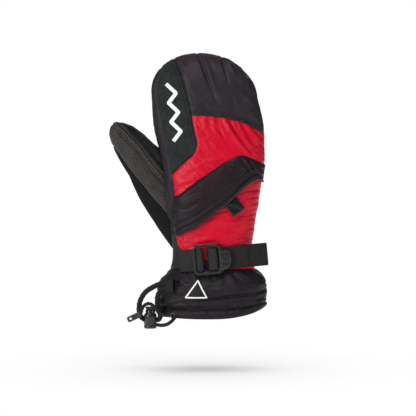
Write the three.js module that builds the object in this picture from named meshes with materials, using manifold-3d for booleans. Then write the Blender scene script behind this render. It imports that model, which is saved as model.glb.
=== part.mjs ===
// Right-hand ski mitten with a gauntlet cuff, standing fingers up as it sits on a hand.
// Millimetres, +Z to the fingertips, back of the hand towards -Y, thumb towards -X.
// The origin is the middle of the hand opening, at the lowest point of the hem.
import * as THREE from "three";
import { mergeVertices } from "three/addons/utils/BufferGeometryUtils.js";
import Module from "manifold-3d";

const wasm = await Module();
wasm.setup();

// ---- Driving dimensions ----
const FINE = 0.1; // details smaller than this are dropped from a cut solid
const GAP = 0.3; // clearance between two pieces that are sewn or pressed together
const CUFF_TOP = 57; // height of the seam between hand and gauntlet
const DOME_START = 258; // height where the fingertip dome begins
const DOME_HEIGHT = 48.5;
const DOME_LEAN = 6; // how far the top of the dome leans to the thumb side
const BACK_POWER = 2.4; // roundness of the back's cross-section; 2 is an ellipse
const PALM_POWER = 3.2; // the palm is flatter than the back
const CURL = 10; // how far the fingertips curl towards the palm
const CURL_START = 150;
const CURL_SPAN = DOME_START + DOME_HEIGHT - CURL_START;

// Depths below the outer surface, from and to, of each layer of the hand.
const LAYER = {
  shell: [0, 1.4],
  pocket: [1.7, 2.4],
  membrane: [2.7, 3.2],
  insulation: [3.5, 7.3],
  lining: [7.6, 8.8],
  cuff: [0, 2],
  cuffLining: [4.4, 5.4],
  hemCord: [2.8, 4.6],
  hemFacing: [4.9, 5.9],
};
// The zip runs in an arc over the back: its middle, slope in degrees, and the radius and depth of its centre.
const ZIP = { x: 5, z: 134.65, slope: 37.5, radius: 197, centre: 165.4, half: 36, slot: 9 };
const FLAP = { outside: 5.9, inside: 4.6, seam: 3 }; // its heights above the shell and its seams

// Height, left edge, right edge, depth to the back and depth to the palm of the hand and cuff.
const STATIONS = [
  [-6, -62, 60, 37, 36],
  [3, -64, 62, 38.5, 37.5],
  [12, -62, 61.5, 36.5, 36],
  [18, -64, 63, 39, 38],
  [24, -62, 62.5, 37.5, 37],
  [34, -63, 63, 39.5, 38.5],
  [45, -59, 60, 33.5, 33],
  [51, -54.5, 56, 29.8, 29.5],
  [57, -48.5, 50, 28.8, 28.6],
  [68, -45.5, 46, 29, 28],
  [90, -46, 46.5, 29, 27.5],
  [120, -52, 51, 31, 28],
  [150, -55, 56, 32.5, 28.6],
  [180, -58, 60, 31.5, 27.4],
  [220, -67, 59.5, 28, 24],
  [258, -70, 52, 25, 21],
];

// Thumb: x, z and y of its middle, half width and half depth, from the wrist to the last joint.
const THUMB = [
  [-24, 84, 6, 20, 15],
  [-42, 118, 9, 25, 17],
  [-60, 152, 11, 27.5, 19],
  [-82, 184, 10, 22.5, 17.5],
  [-100, 206, 8, 18, 15],
];
const THUMB_CAP = 17; // length of the rounded tip
const THUMB_HINGE = { x: -60, y: 11, z: 152, in: 8, out: 12 }; // pivot and limits, in degrees

// Seams as heights over x: on the back, on the palm and thumb, and round the cuff.
const TIP_SEAM = [[-90, 240], [-23, 234.5], [12, 231.5], [37, 225], [59, 214], [80, 198]];
const FLAP_TOP = [
  [-90, 108], [-43, 139.5], [1.5, 170.5], [17, 181.5], [30, 187], [41, 186], [59, 177], [80, 160],
];
const FLAP_FOOT = [
  [-90, 78], [-43, 94], [-18, 105], [4, 119], [19, 130], [34, 145], [45, 154], [52, 157], [80, 152],
];
const PATCH_FOOT = [[-90, 128], [-46, 165], [-33, 177], [-22, 187], [-17.5, 192], [-15, 200], [-14, 240]];
const PALM_SEAM = [
  [-150, 236], [-115, 199], [-93, 169], [-75, 147], [-58, 127], [-40, 110], [0, 98], [80, 94],
];
const THUMB_SEAM = [[-150, 262], [-112, 223], [-87, 198], [-64, 168], [-40, 145]];
const HEM_FOOT = [[-90, 8], [-64, 4], [-40, 1], [-10, 0], [20, 1], [45, 6], [64, 13], [90, 20]];
const HEM_SEAM = [[-90, 17], [-64, 14], [-40, 11.5], [-10, 10.5], [20, 11], [45, 14], [64, 19], [90, 25]];
// Seams on the back, as x over heights.
const LEFT_SEAM = [
  [40, -38], [80, -39], [95, -42.5], [111, -44.5], [141, -43], [168, -47], [199, -52.5], [221, -56],
  [262, -64.5], [285, -60], [320, -52],
];
const PATCH_EDGE = [
  [150, -10], [199, -16.5], [216, -20.5], [234, -23.5], [254, -28], [274, -33.5], [294, -41], [320, -55],
];

// ---- Small geometry helpers ----
const deg = THREE.MathUtils.degToRad;
const rotated = (m, angle, axis, at) =>
  m.transform(
    new THREE.Matrix4()
      .makeTranslation(at.x, at.y, at.z)
      .multiply(new THREE.Matrix4().makeRotationAxis(axis, angle))
      .multiply(new THREE.Matrix4().makeTranslation(-at.x, -at.y, -at.z)).elements,
  );
const Y_AXIS = new THREE.Vector3(0, 1, 0);

// Smooth value of column `column` of rows sorted by their first number.
function along(rows, at, column) {
  const last = rows.length - 1;
  let i = 0;
  while (i < last - 1 && at > rows[i + 1][0]) i++;
  const [a, b] = [rows[i], rows[i + 1]];
  const before = rows[Math.max(i - 1, 0)];
  const after = rows[Math.min(i + 2, last)];
  const slope = (p, q) => (q[column] - p[column]) / (q[0] - p[0]);
  const step = b[0] - a[0];
  const t = THREE.MathUtils.clamp((at - a[0]) / step, 0, 1);
  const ma = i > 0 ? slope(before, b) * step : slope(a, b) * step;
  const mb = i + 2 <= last ? slope(a, after) * step : slope(a, b) * step;
  const [t2, t3] = [t * t, t * t * t];
  const start = (2 * t3 - 3 * t2 + 1) * a[column] + (t3 - 2 * t2 + t) * ma;
  return start + (3 * t2 - 2 * t3) * b[column] + (t3 - t2) * mb;
}

// A closed three.js geometry as a solid for joining and cutting.
function solid(geometry) {
  const bare = geometry.index ? geometry.clone() : geometry;
  bare.deleteAttribute("normal");
  bare.deleteAttribute("uv");
  const merged = mergeVertices(bare, 1e-4);
  return new wasm.Manifold(
    new wasm.Mesh({
      numProp: 3,
      vertProperties: new Float32Array(merged.attributes.position.array),
      triVerts: new Uint32Array(merged.index.array),
    }),
  );
}

// A solid back as a three.js geometry.
function geometryOf(made) {
  const { numProp, vertProperties, triVerts } = made.getMesh();
  const position = new Float32Array((vertProperties.length / numProp) * 3);
  for (let i = 0; i < position.length / 3; i++)
    position.set(vertProperties.subarray(i * numProp, i * numProp + 3), i * 3);
  return new THREE.BufferGeometry()
    .setAttribute("position", new THREE.BufferAttribute(position, 3))
    .setIndex(new THREE.BufferAttribute(triVerts, 1));
}

// Closed skin through rings of equal length, each end closed by a fan to its middle.
function loft(rings) {
  const count = rings[0].length;
  const middle = (ring) => ring.reduce((s, p) => s.clone().add(p), new THREE.Vector3()).divideScalar(count);
  const points = [...rings.flat(), middle(rings[0]), middle(rings.at(-1))];
  const index = [];
  for (let r = 0; r + 1 < rings.length; r++)
    for (let i = 0; i < count; i++) {
      const [a, b] = [r * count + i, r * count + ((i + 1) % count)];
      index.push(a, b, a + count, b, b + count, a + count);
    }
  const [foot, head, top] = [count * rings.length, count * rings.length + 1, count * (rings.length - 1)];
  for (let i = 0; i < count; i++) {
    const next = (i + 1) % count;
    index.push(foot, next, i, head, top + i, top + next);
  }
  return new THREE.BufferGeometry().setFromPoints(points).setIndex(index);
}

// A flat outline of [u, v] points, extruded through `depth` along its own +Z.
function extruded(outline, depth, holes = [], bevel = 0) {
  const shape = new THREE.Shape(outline.map(([u, v]) => new THREE.Vector2(u, v)));
  shape.holes = holes.map((hole) => new THREE.Path(hole.map(([u, v]) => new THREE.Vector2(u, v))));
  return new THREE.ExtrudeGeometry(shape, {
    depth: depth - 2 * bevel,
    bevelEnabled: bevel > 0,
    bevelSize: bevel,
    bevelThickness: bevel,
    bevelOffset: -bevel,
    bevelSegments: 1,
    curveSegments: 6,
  }).translate(0, 0, bevel);
}

// An outline in the X-Z plane as a wall that runs through the whole depth of the mitten.
const prism = (outline) => solid(extruded(outline, 240).rotateX(Math.PI / 2).translate(0, 120, 0));

const block = (x0, x1, y0, y1, z0, z1) =>
  solid(
    new THREE.BoxGeometry(x1 - x0, y1 - y0, z1 - z0)
      .translate((x0 + x1) / 2, (y0 + y1) / 2, (z0 + z1) / 2),
  );

// Everything above, below, right or left of a seam, moved off it by `shift`.
const FAR = 400;
const SEAM_STEP = 7;
const steps = (from, to) => {
  const count = Math.ceil((to - from) / SEAM_STEP) + 1;
  return Array.from({ length: count }, (_, i) => Math.min(from + i * SEAM_STEP, to));
};
const heightLine = (rows, shift) =>
  steps(rows[0][0], rows.at(-1)[0]).map((x) => [x, along(rows, x, 1) + shift]);
const sideLine = (rows, shift) =>
  steps(rows[0][0], rows.at(-1)[0]).map((z) => [along(rows, z, 1) + shift, z]);
const above = (rows, shift = GAP / 2) => {
  const line = heightLine(rows, shift);
  return prism([...line, [line.at(-1)[0], FAR], [line[0][0], FAR]]);
};
const below = (rows, shift = -GAP / 2) => {
  const line = heightLine(rows, shift);
  return prism([...line.reverse(), [line.at(-1)[0], -FAR], [line[0][0], -FAR]]);
};
const rightOf = (rows, shift = GAP / 2) => {
  const line = sideLine(rows, shift);
  return prism([...line.reverse(), [FAR, line.at(-1)[1]], [FAR, line[0][1]]]);
};
const leftOf = (rows, shift = -GAP / 2) => {
  const line = sideLine(rows, shift);
  return prism([...line, [-FAR, line.at(-1)[1]], [-FAR, line[0][1]]]);
};

// ---- The hand's outer shape, and the same shape `inset` further in ----
const curl = (z) => (z > CURL_START ? CURL * ((z - CURL_START) / CURL_SPAN) ** 2 : 0);
const power = (value, exponent) => Math.sign(value) * Math.abs(value) ** exponent;

function ring(z, middle, width, back, palm, count) {
  return Array.from({ length: count }, (_, i) => {
    const angle = (2 * Math.PI * i) / count;
    const [c, s] = [Math.cos(angle), Math.sin(angle)];
    const [depth, exponent] = s < 0 ? [back, 2 / BACK_POWER] : [palm, 2 / PALM_POWER];
    return new THREE.Vector3(middle + width * power(c, exponent), curl(z) + depth * power(s, exponent), z);
  });
}

function handVolume(inset, count, heights, domeRings) {
  const rings = heights.map((z) => {
    const [left, right, back, palm] = [1, 2, 3, 4].map((column) => along(STATIONS, z, column));
    return ring(z, (left + right) / 2, (right - left) / 2 - inset, back - inset, palm - inset, count);
  });
  const [, left, right, back, palm] = STATIONS.at(-1);
  for (let i = 1; i <= domeRings; i++) {
    const angle = (Math.PI / 2) * Math.min(i / domeRings, 0.985);
    const [c, s] = [Math.cos(angle), Math.sin(angle)];
    const z = DOME_START + (DOME_HEIGHT - inset) * s;
    const middle = (left + right) / 2 - DOME_LEAN * s;
    const half = ((right - left) / 2 - inset) * c;
    rings.push(ring(z, middle, half, (back - inset) * c, (palm - inset) * c, count));
  }
  return solid(loft(rings));
}

const OUTER_HEIGHTS = [-6, 3, 12, 18, 24, 34, 45, 51, 57, 68, 90, 120, 150, 180, 220, 258];
const INNER_HEIGHTS = [-6, 12, 34, 45, 57, 68, 90, 120, 150, 180, 220, 258];
const outerHand = (inset) => handVolume(inset, 26, OUTER_HEIGHTS, 4);
const innerHand = (inset) => handVolume(inset, 16, INNER_HEIGHTS, 3);

function thumbVolume(inset, count) {
  const centres = THUMB.map(([x, z, y]) => new THREE.Vector3(x, y, z));
  const rings = THUMB.map(([, , , width, depth], i) => {
    const before = centres[Math.max(i - 1, 0)];
    const after = centres[Math.min(i + 1, centres.length - 1)];
    const tangent = after.clone().sub(before).normalize();
    return thumbRing(centres[i], tangent, width - inset, depth - inset, count);
  });
  const tangent = centres.at(-1).clone().sub(centres.at(-2)).normalize();
  const [, , , width, depth] = THUMB.at(-1);
  for (const turn of [0.35, 0.65, 0.96]) {
    const angle = (turn * Math.PI) / 2;
    const centre = centres.at(-1).clone().addScaledVector(tangent, (THUMB_CAP - inset) * Math.sin(angle));
    const share = Math.cos(angle) ** 0.8;
    rings.push(thumbRing(centre, tangent, (width - inset) * share, (depth - inset) * share, count));
  }
  return solid(loft(rings));
}

function thumbRing(centre, tangent, width, depth, count) {
  const across = new THREE.Vector3().crossVectors(Y_AXIS, tangent).normalize();
  return Array.from({ length: count }, (_, i) => {
    const angle = (2 * Math.PI * i) / count;
    const sideways = centre.clone().addScaledVector(across, width * Math.cos(angle));
    return sideways.addScaledVector(Y_AXIS, depth * Math.sin(angle));
  });
}

// ---- Materials ----
const finish = (color, roughness, metalness = 0) =>
  new THREE.MeshStandardMaterial({ color, roughness, metalness });
const MATERIAL = {
  black_nylon: finish(0x2c292d, 0.55),
  red_nylon: finish(0xc4092c, 0.42),
  suede: finish(0x202422, 0.95),
  grip: finish(0x262626, 0.6),
  softshell: finish(0x141414, 0.9),
  piping: finish(0x101010, 0.7),
  wadding: finish(0xe8e6e0, 1),
  membrane: finish(0xd8dce0, 0.5),
  fleece: finish(0x3a3a3e, 1),
  webbing: finish(0x1b1b1a, 0.85),
  plastic: finish(0x35373a, 0.45),
  cord: finish(0x1f1f1c, 0.9),
  elastic: finish(0x161616, 0.85),
  thread: finish(0xf2f0ec, 0.8),
  steel: finish(0xb8bcc0, 0.35, 1),
};

const model = new THREE.Group();
function add(name, geometry, material, parent = model) {
  const mesh = new THREE.Mesh(geometry, material);
  mesh.name = name;
  parent.add(mesh);
  return mesh;
}
// The main body of a cut solid, without slivers that a cut may leave.
const main = (made) => made.decompose().sort((a, b) => b.volume() - a.volume())[0];
const addSolid = (name, made, material) => add(name, geometryOf(main(made.simplify(FINE))), material);

// ---- Halves and bands of the mitten ----
// The part of the mitten behind (back of the hand) or in front of (palm) its side seams.
function half(side, shift = GAP / 2) {
  const line = steps(-40, 340).map((z) => [curl(z) + side * shift, z]);
  const outline = [...line, [side * FAR, 340], [side * FAR, -40]];
  return solid(extruded(outline, FAR).rotateX(Math.PI / 2).rotateZ(Math.PI / 2).translate(-FAR / 2, 0, 0));
}
const back = half(-1);
const palm = half(1);
const ofHand = block(-FAR, FAR, -FAR, FAR, CUFF_TOP + GAP / 2, FAR);
const ofCuff = block(-FAR, FAR, -FAR, FAR, -FAR, CUFF_TOP - GAP / 2);

// ---- The thumb's cut: it turns on its hinge inside the hand, and the hand is cleared for its swing ----
const hinge = new THREE.Vector3(THUMB_HINGE.x, THUMB_HINGE.y, THUMB_HINGE.z);
const thumbAxis = new THREE.Vector2(THUMB[3][0] - THUMB[1][0], THUMB[3][1] - THUMB[1][1]).normalize();
const thumbAcross = new THREE.Vector2(thumbAxis.y, -thumbAxis.x);
const SOCKET_RADIUS = 26;
const SWING_CLEARANCE = 1.2;
const COARSE = 0.25; // the swept volumes are cut this roughly
const SWING_STEP = 10; // degrees
const along2 = (u, v) => [
  hinge.x + thumbAcross.x * u + thumbAxis.x * v,
  hinge.z + thumbAcross.y * u + thumbAxis.y * v,
];
// Everything beyond the hinge, and a round socket about it, grown by `margin`.
function movingRegion(margin) {
  const beyond = prism([along2(-70, -margin), along2(-70, 140), along2(70, 140), along2(70, -margin)]);
  const socket = Array.from({ length: 20 }, (_, i) => {
    const angle = (2 * Math.PI * i) / 20;
    return along2((SOCKET_RADIUS + margin) * Math.cos(angle), (SOCKET_RADIUS + margin) * Math.sin(angle));
  });
  return beyond.add(prism(socket));
}
const swings = [];
for (let angle = -THUMB_HINGE.out; angle <= THUMB_HINGE.in; angle += SWING_STEP) swings.push(angle);
const swept = (made, sign) =>
  swings
    .map((angle) => rotated(made, sign * deg(angle), Y_AXIS, hinge))
    .reduce((all, one) => all.add(one))
    .simplify(COARSE);
const thumbVolumes = (inset) => thumbVolume(inset, 12);
const handKeepOut = swept(outerHand(-SWING_CLEARANCE), -1);
const movingSpace = thumbVolumes(-SWING_CLEARANCE).intersect(movingRegion(SWING_CLEARANCE));
const thumbSweep = swept(movingSpace.subtract(outerHand(SWING_CLEARANCE)), 1);

// ---- Outer shell of the hand ----
const shellOf = ([from, to], volume) => volume(from).subtract(volume(to));
const handShell = shellOf(LAYER.shell, outerHand).intersect(ofHand);
const innerThumb = thumbVolumes(LAYER.shell[1]);
const backShell = handShell.intersect(back).subtract(thumbVolumes(-GAP));
const backPanels = backShell.intersect(rightOf(LEFT_SEAM));
const patchRegion = (shift) => leftOf(PATCH_EDGE, shift).intersect(above(PATCH_FOOT, -shift));
const zipAt = (u, v) => {
  const [c, s] = [Math.cos(deg(ZIP.slope)), Math.sin(deg(ZIP.slope))];
  return [ZIP.x + u * c - v * s, ZIP.z + u * s + v * c];
};
const zipLine = [-110, 110].map((u) => zipAt(u, 0));
const zipBox = (u0, u1, v0, v1) => prism([zipAt(u0, v0), zipAt(u1, v0), zipAt(u1, v1), zipAt(u0, v1)]);
const zipSlot = zipBox(-ZIP.half, ZIP.half, -ZIP.slot / 2, ZIP.slot / 2);

const fingertipPanel = backPanels.intersect(above(TIP_SEAM)).subtract(patchRegion(GAP / 2));
addSolid("fingertip_panel", fingertipPanel, MATERIAL.black_nylon);
addSolid("index_patch", backPanels.intersect(patchRegion(-GAP / 2)), MATERIAL.suede);
addSolid(
  "upper_back_panel",
  backPanels
    .intersect(below(TIP_SEAM))
    .intersect(above(zipLine))
    .subtract(patchRegion(GAP / 2))
    .subtract(zipSlot),
  MATERIAL.red_nylon,
);
addSolid("lower_back_panel", backPanels.intersect(below(zipLine)).subtract(zipSlot), MATERIAL.red_nylon);
addSolid("index_gusset", backShell.intersect(leftOf(LEFT_SEAM)).subtract(thumbSweep), MATERIAL.black_nylon);

// The palm runs on round the base of the thumb.
const stubShell = thumbVolumes(0).subtract(innerThumb).intersect(ofHand);
const palmOuter = handShell.intersect(palm).add(stubShell);
const palmShell = palmOuter.subtract(outerHand(LAYER.shell[1])).subtract(innerThumb);
const palmWhole = palmShell
  .subtract(thumbSweep)
  .subtract(outerHand(GAP).intersect(half(-1, -GAP)))
  .subtract(handShell.intersect(half(-1, 0)));
addSolid("palm_panel", palmWhole.intersect(above(PALM_SEAM)), MATERIAL.grip);
addSolid("palm_heel_panel", palmWhole.intersect(below(PALM_SEAM)), MATERIAL.softshell);

const PATCH = { x: -1, z: 149, width: 56, height: 76, face: 30.8, corner: 4 };
const patchOutline = Array.from({ length: 24 }, (_, i) => {
  const angle = (2 * Math.PI * i) / 24;
  const corner = (value) => power(value, 2 / PATCH.corner);
  return [
    PATCH.x + (PATCH.width / 2) * corner(Math.cos(angle)),
    PATCH.z + (PATCH.height / 2) * corner(Math.sin(angle)),
  ];
});
addSolid(
  "palm_grip_patch",
  prism(patchOutline).intersect(block(-FAR, FAR, 10, PATCH.face, 0, FAR)).subtract(outerHand(-GAP)),
  MATERIAL.grip,
);

// ---- Layers inside the hand ----
const layer = ([from, to]) => {
  const whole = (inset) => innerHand(inset).add(thumbVolumes(inset));
  return whole(from).subtract(whole(to)).intersect(ofHand).subtract(thumbSweep);
};
addSolid("waterproof_membrane", layer(LAYER.membrane), MATERIAL.membrane);
addSolid("insulation_back", layer(LAYER.insulation).intersect(back), MATERIAL.wadding);
addSolid("insulation_palm", layer(LAYER.insulation).intersect(palm), MATERIAL.wadding);
addSolid("fleece_lining", layer(LAYER.lining), MATERIAL.fleece);
const underShell = outerHand(LAYER.pocket[0]).subtract(outerHand(LAYER.pocket[1]));
addSolid(
  "pocket_bag",
  underShell.intersect(back).intersect(prism([[-30, 90], [40, 86], [42, 158], [34, 160], [-30, 112]])),
  MATERIAL.membrane,
);
addSolid("wrist_elastic", underShell.intersect(block(-FAR, FAR, -FAR, FAR, 61, 77)), MATERIAL.elastic);

// ---- Thumb, which moves ----
const thumbPart = (made) => made.intersect(movingRegion(0)).subtract(handKeepOut);
const thumbLayer = ([from, to]) => thumbPart(thumbVolumes(from).subtract(thumbVolumes(to)));
const thumbShell = thumbLayer(LAYER.shell);
addSolid("thumb_upper_panel", thumbShell.intersect(above(THUMB_SEAM)), MATERIAL.grip);
const thumbMiddle = thumbShell.intersect(below(THUMB_SEAM)).intersect(above(PALM_SEAM));
addSolid("thumb_middle_panel", thumbMiddle, MATERIAL.grip);
addSolid("thumb_side_panel", thumbShell.intersect(below(PALM_SEAM)), MATERIAL.softshell);
addSolid("thumb_membrane", thumbLayer(LAYER.membrane), MATERIAL.membrane);
addSolid("thumb_insulation", thumbLayer(LAYER.insulation), MATERIAL.wadding);
addSolid("thumb_lining", thumbLayer(LAYER.lining), MATERIAL.fleece);

// ---- Gauntlet cuff ----
const cuffShell = shellOf(LAYER.cuff, outerHand).intersect(ofCuff).intersect(above(HEM_FOOT, 0));
addSolid("cuff_back_panel", cuffShell.intersect(back).intersect(above(HEM_SEAM)), MATERIAL.black_nylon);
addSolid("cuff_palm_panel", cuffShell.intersect(palm).intersect(above(HEM_SEAM)), MATERIAL.black_nylon);
addSolid("hem_channel", cuffShell.intersect(below(HEM_SEAM)), MATERIAL.black_nylon);
const cuffLining = shellOf(LAYER.cuffLining, innerHand).intersect(ofCuff).intersect(above(HEM_SEAM));
addSolid("cuff_lining", cuffLining, MATERIAL.fleece);
const hemLayer = ([from, to]) => innerHand(from).subtract(innerHand(to));
const ofHem = above(HEM_FOOT, 0).intersect(below(HEM_SEAM));
addSolid("hem_facing", hemLayer(LAYER.hemFacing).intersect(ofHem), MATERIAL.black_nylon);
addSolid(
  "hem_drawcord",
  hemLayer(LAYER.hemCord).intersect(above(HEM_FOOT, 2)).intersect(below(HEM_FOOT, 6)),
  MATERIAL.elastic,
);

// ---- Pocket flap over the zip, with its bound edge ----
const flapRegion = back.intersect(rightOf(LEFT_SEAM)).intersect(leftOf([[-40, 57], [340, 57]]));
const skin = (outside, inside = -GAP) => outerHand(-outside).subtract(outerHand(inside));
const flapSides = leftOf(LEFT_SEAM, FLAP.seam).add(rightOf([[-40, 54], [340, 54]]));
const flapSeams = above(FLAP_TOP, -FLAP.seam).add(flapSides);
const flapFelled = skin(FLAP.outside).intersect(flapSeams);
const flapWhole = skin(FLAP.outside, -FLAP.inside).add(flapFelled).intersect(flapRegion);
const pocketFlap = flapWhole.intersect(below(FLAP_TOP)).intersect(above(FLAP_FOOT, 0));
addSolid("pocket_flap", pocketFlap, MATERIAL.black_nylon);
addSolid(
  "flap_binding",
  skin(FLAP.outside + 0.6, -FLAP.inside)
    .intersect(flapRegion)
    .intersect(below(FLAP_FOOT))
    .intersect(above(FLAP_FOOT, -2)),
  MATERIAL.piping,
);
const tipPiping = skin(1.6).intersect(back).intersect(above(TIP_SEAM, -1.5));
addSolid(
  "fingertip_piping",
  tipPiping.intersect(below(TIP_SEAM, 1.5)).intersect(rightOf(PATCH_EDGE, 0.5)),
  MATERIAL.piping,
);

// ---- Marks sewn on: a zigzag on the index patch and a mountain on the cuff ----
const band = (line, half) => {
  const side = (sign) =>
    line.map(([x, z], i) => {
      const [p, q] = [line[Math.max(i - 1, 0)], line[Math.min(i + 1, line.length - 1)]];
      const length = Math.hypot(q[0] - p[0], q[1] - p[1]);
      return [x - (sign * half * (q[1] - p[1])) / length, z + (sign * half * (q[0] - p[0])) / length];
    });
  return [...side(1), ...side(-1).reverse()];
};
const MARK = { x: -39, foot: 203, step: 11, reach: 7, half: 2.2, lean: 0.13 };
const zigzag = Array.from({ length: 7 }, (_, i) => {
  const z = MARK.foot + i * MARK.step;
  return [MARK.x - (z - MARK.foot) * MARK.lean + (i % 2 ? MARK.reach : -MARK.reach) / 1.4, z];
});
addSolid("patch_mark", skin(0.9).intersect(prism(band(zigzag, MARK.half))), MATERIAL.thread);
const EMBLEM = { x: -18, foot: 24, top: 45, half: 12.5, line: 1.6 };
const peak = (inset) => {
  const foot = EMBLEM.foot + inset;
  const half = EMBLEM.half - inset * 1.9;
  const top = EMBLEM.top - inset * 1.9;
  return prism([[EMBLEM.x - half, foot], [EMBLEM.x + half, foot], [EMBLEM.x + 2, top]]);
};
addSolid("cuff_emblem", skin(0.9).intersect(peak(0)).subtract(peak(EMBLEM.line)), MATERIAL.thread);

// ---- Pocket zip: tapes in the slot, a coil between them, and a slider that rides the coil ----
const zipMiddle = new THREE.Vector3(ZIP.x, ZIP.centre, ZIP.z);
// A slice of the zip's arc: radii, v from and to, and u from and to along the zip.
function zipArc(r0, r1, v0, v1, u0, u1) {
  const turns = Array.from({ length: 13 }, (_, i) => (u0 + ((u1 - u0) * i) / 12) / ZIP.radius);
  const at = (radius) => (turn) => [radius * Math.sin(turn), -radius * Math.cos(turn)];
  const outline = [...turns.map(at(r0)), ...turns.reverse().map(at(r1))];
  const slice = extruded(outline.reverse(), v1 - v0).translate(0, 0, v0);
  return solid(slice.rotateY(-deg(ZIP.slope)).translate(zipMiddle.x, zipMiddle.y, zipMiddle.z));
}
const R = ZIP.radius;
const tape = skin(-0.8, 1.3).intersect(zipSlot).intersect(back);
const tapeHalf = ZIP.slot / 2 - GAP;
addSolid("zip_tape_upper", tape.intersect(zipBox(-35, 35, 1.6, tapeHalf)), MATERIAL.piping);
addSolid("zip_tape_lower", tape.intersect(zipBox(-35, 35, -tapeHalf, -1.6)), MATERIAL.piping);
addSolid("zip_coil", zipArc(R - 4, R + 1.2, -1.3, 1.3, -33, 33).subtract(outerHand(1.4)), MATERIAL.plastic);
const PULL = { pin: 14, foot: 1, top: 2.8, length: 12, half: 8.2 };
const SLIDER = { u: 14.7, half: 4.2, wide: 3.9, foot: 0.6, top: 2.4 };
const sliderSpan = [SLIDER.u - SLIDER.half, SLIDER.u + SLIDER.half];
const sliderBody = zipArc(R + SLIDER.foot, R + SLIDER.top, -SLIDER.wide, SLIDER.wide, ...sliderSpan).subtract(
  zipArc(R - 4, R + 1.5, -1.6, 1.6, SLIDER.u - 9, SLIDER.u + 9),
);
const leader = zipArc(R + 0.6, R + 1.6, 0.3 - PULL.pin, 0.5 - SLIDER.wide, SLIDER.u - 2.5, SLIDER.u + 2.5);
addSolid("zip_slider", sliderBody.add(leader), MATERIAL.steel);
const zipStop = (from, to) => zipArc(R - 1, R + 1.5, -2.5, 2.5, from, to).subtract(outerHand(0.5));
addSolid("zip_stop_left", zipStop(-35, -33.3), MATERIAL.steel);
addSolid("zip_stop_right", zipStop(33.3, 35), MATERIAL.steel);
const pullSpan = [-PULL.pin - PULL.length, -PULL.pin - 0.3, SLIDER.u - PULL.half, SLIDER.u + PULL.half];
addSolid("zip_pull_tab", zipArc(R + PULL.foot, R + PULL.top, ...pullSpan), MATERIAL.webbing);

// ---- Wrist strap and its ladder-lock buckle, lying on their own tilted plane ----
const STRAP = { y: -35.2, z: 68.5, tilt: 5.2, width: 25, thick: 1.4, slope: 0.09, end: 63.6, doubled: 42 };
const strap = new THREE.Group();
strap.position.set(0, STRAP.y, STRAP.z);
strap.rotation.y = -deg(STRAP.tilt);
model.add(strap);
// A strip of webbing seen from its edge, and an arc of such a strip.
const webbing = (outline, width = STRAP.width) => extruded(outline, width).translate(0, 0, -width / 2);
const bend = (x, radius, from, to) =>
  Array.from({ length: 13 }, (_, i) => {
    const angle = deg(from + ((to - from) * i) / 12);
    return [x + radius * Math.cos(angle), radius * Math.sin(angle)];
  });
const BUCKLE = {
  left: -21.2, right: 10, half: 17.5, nose: 22, noseHalf: 14, thick: 3.2, bar1: -13.9, bar2: 0.5, bar: 1.5,
};
const LOOP = 2.6; // middle radius of the webbing round a bar
const frameCorners = [
  [BUCKLE.left, BUCKLE.half - 3],
  [BUCKLE.left + 3, BUCKLE.half],
  [BUCKLE.right - 2, BUCKLE.half],
  [BUCKLE.right + 2, BUCKLE.noseHalf],
  [BUCKLE.nose - 4, BUCKLE.noseHalf - 2],
  [BUCKLE.nose - 1, 7],
  [BUCKLE.nose, 2],
];
const frameOutline = [...frameCorners.map(([x, z]) => [x, -z]), ...frameCorners.reverse()];
const windowHalf = STRAP.width / 2 + 1;
const frameWindow = [[-19.4, -windowHalf], [8, -windowHalf], [8, windowHalf], [-19.4, windowHalf]];
const plate = extruded(frameOutline, BUCKLE.thick, [frameWindow], 0.5).rotateX(Math.PI / 2);
const bar = (x) =>
  new THREE.CylinderGeometry(BUCKLE.bar, BUCKLE.bar, 2 * windowHalf + 3, 12)
    .rotateX(Math.PI / 2)
    .translate(x, 0, 0);
const rib = (x) => solid(new THREE.BoxGeometry(1.4, 1, 12).translate(x, -BUCKLE.thick / 2, 0));
const buckleFrame = solid(plate.translate(0, BUCKLE.thick / 2, 0));
const buckleSolid = buckleFrame.add(solid(bar(BUCKLE.bar1))).add(solid(bar(BUCKLE.bar2)));
const ribbed = [12.5, 15.3, 18.1].reduce((all, x) => all.subtract(rib(x)), buckleSolid);
add("buckle_frame", geometryOf(ribbed), MATERIAL.plastic, strap);

const anchorPath = [[-37, 9.6], [-31, 7.6], [-26, 6.2], [-22, 5], [-19.5, 4.2], [-17.2, 3.3], [-15.6, 2.8]];
const anchor = band([...anchorPath, ...bend(BUCKLE.bar1, LOOP, 90, -205)], STRAP.thick / 2);
add("strap_anchor", webbing(anchor), MATERIAL.webbing, strap);
add("strap_loop", webbing(band(bend(BUCKLE.bar2, LOOP, 70, -240), STRAP.thick / 2)), MATERIAL.webbing, strap);
const TAIL = { start: 4.4, depth: 2.75, half: 0.9, doubledHalf: 1.6 };
const tailAt = (x, side) => [x, TAIL.depth + STRAP.slope * (x - TAIL.start) + side];
const tail = [
  tailAt(TAIL.start, TAIL.half),
  tailAt(STRAP.end, TAIL.half),
  tailAt(STRAP.end, TAIL.half - 2 * TAIL.doubledHalf),
  tailAt(STRAP.doubled, TAIL.half - 2 * TAIL.doubledHalf),
  tailAt(STRAP.doubled, -TAIL.half),
  tailAt(TAIL.start, -TAIL.half),
];
add("strap_tail", webbing(tail), MATERIAL.webbing, strap);
const loadPath = [
  [4.4, 4.9], [9, 5.1], [14, 5.55], [18, 6], [22, 6.7], [25, 7.4], [28, 8.3], [31, 9.4], [34, 10.8],
  [37, 12.6], [40, 15],
];
add("strap_load", webbing(band(loadPath, STRAP.thick / 2)), MATERIAL.webbing, strap);

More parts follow.
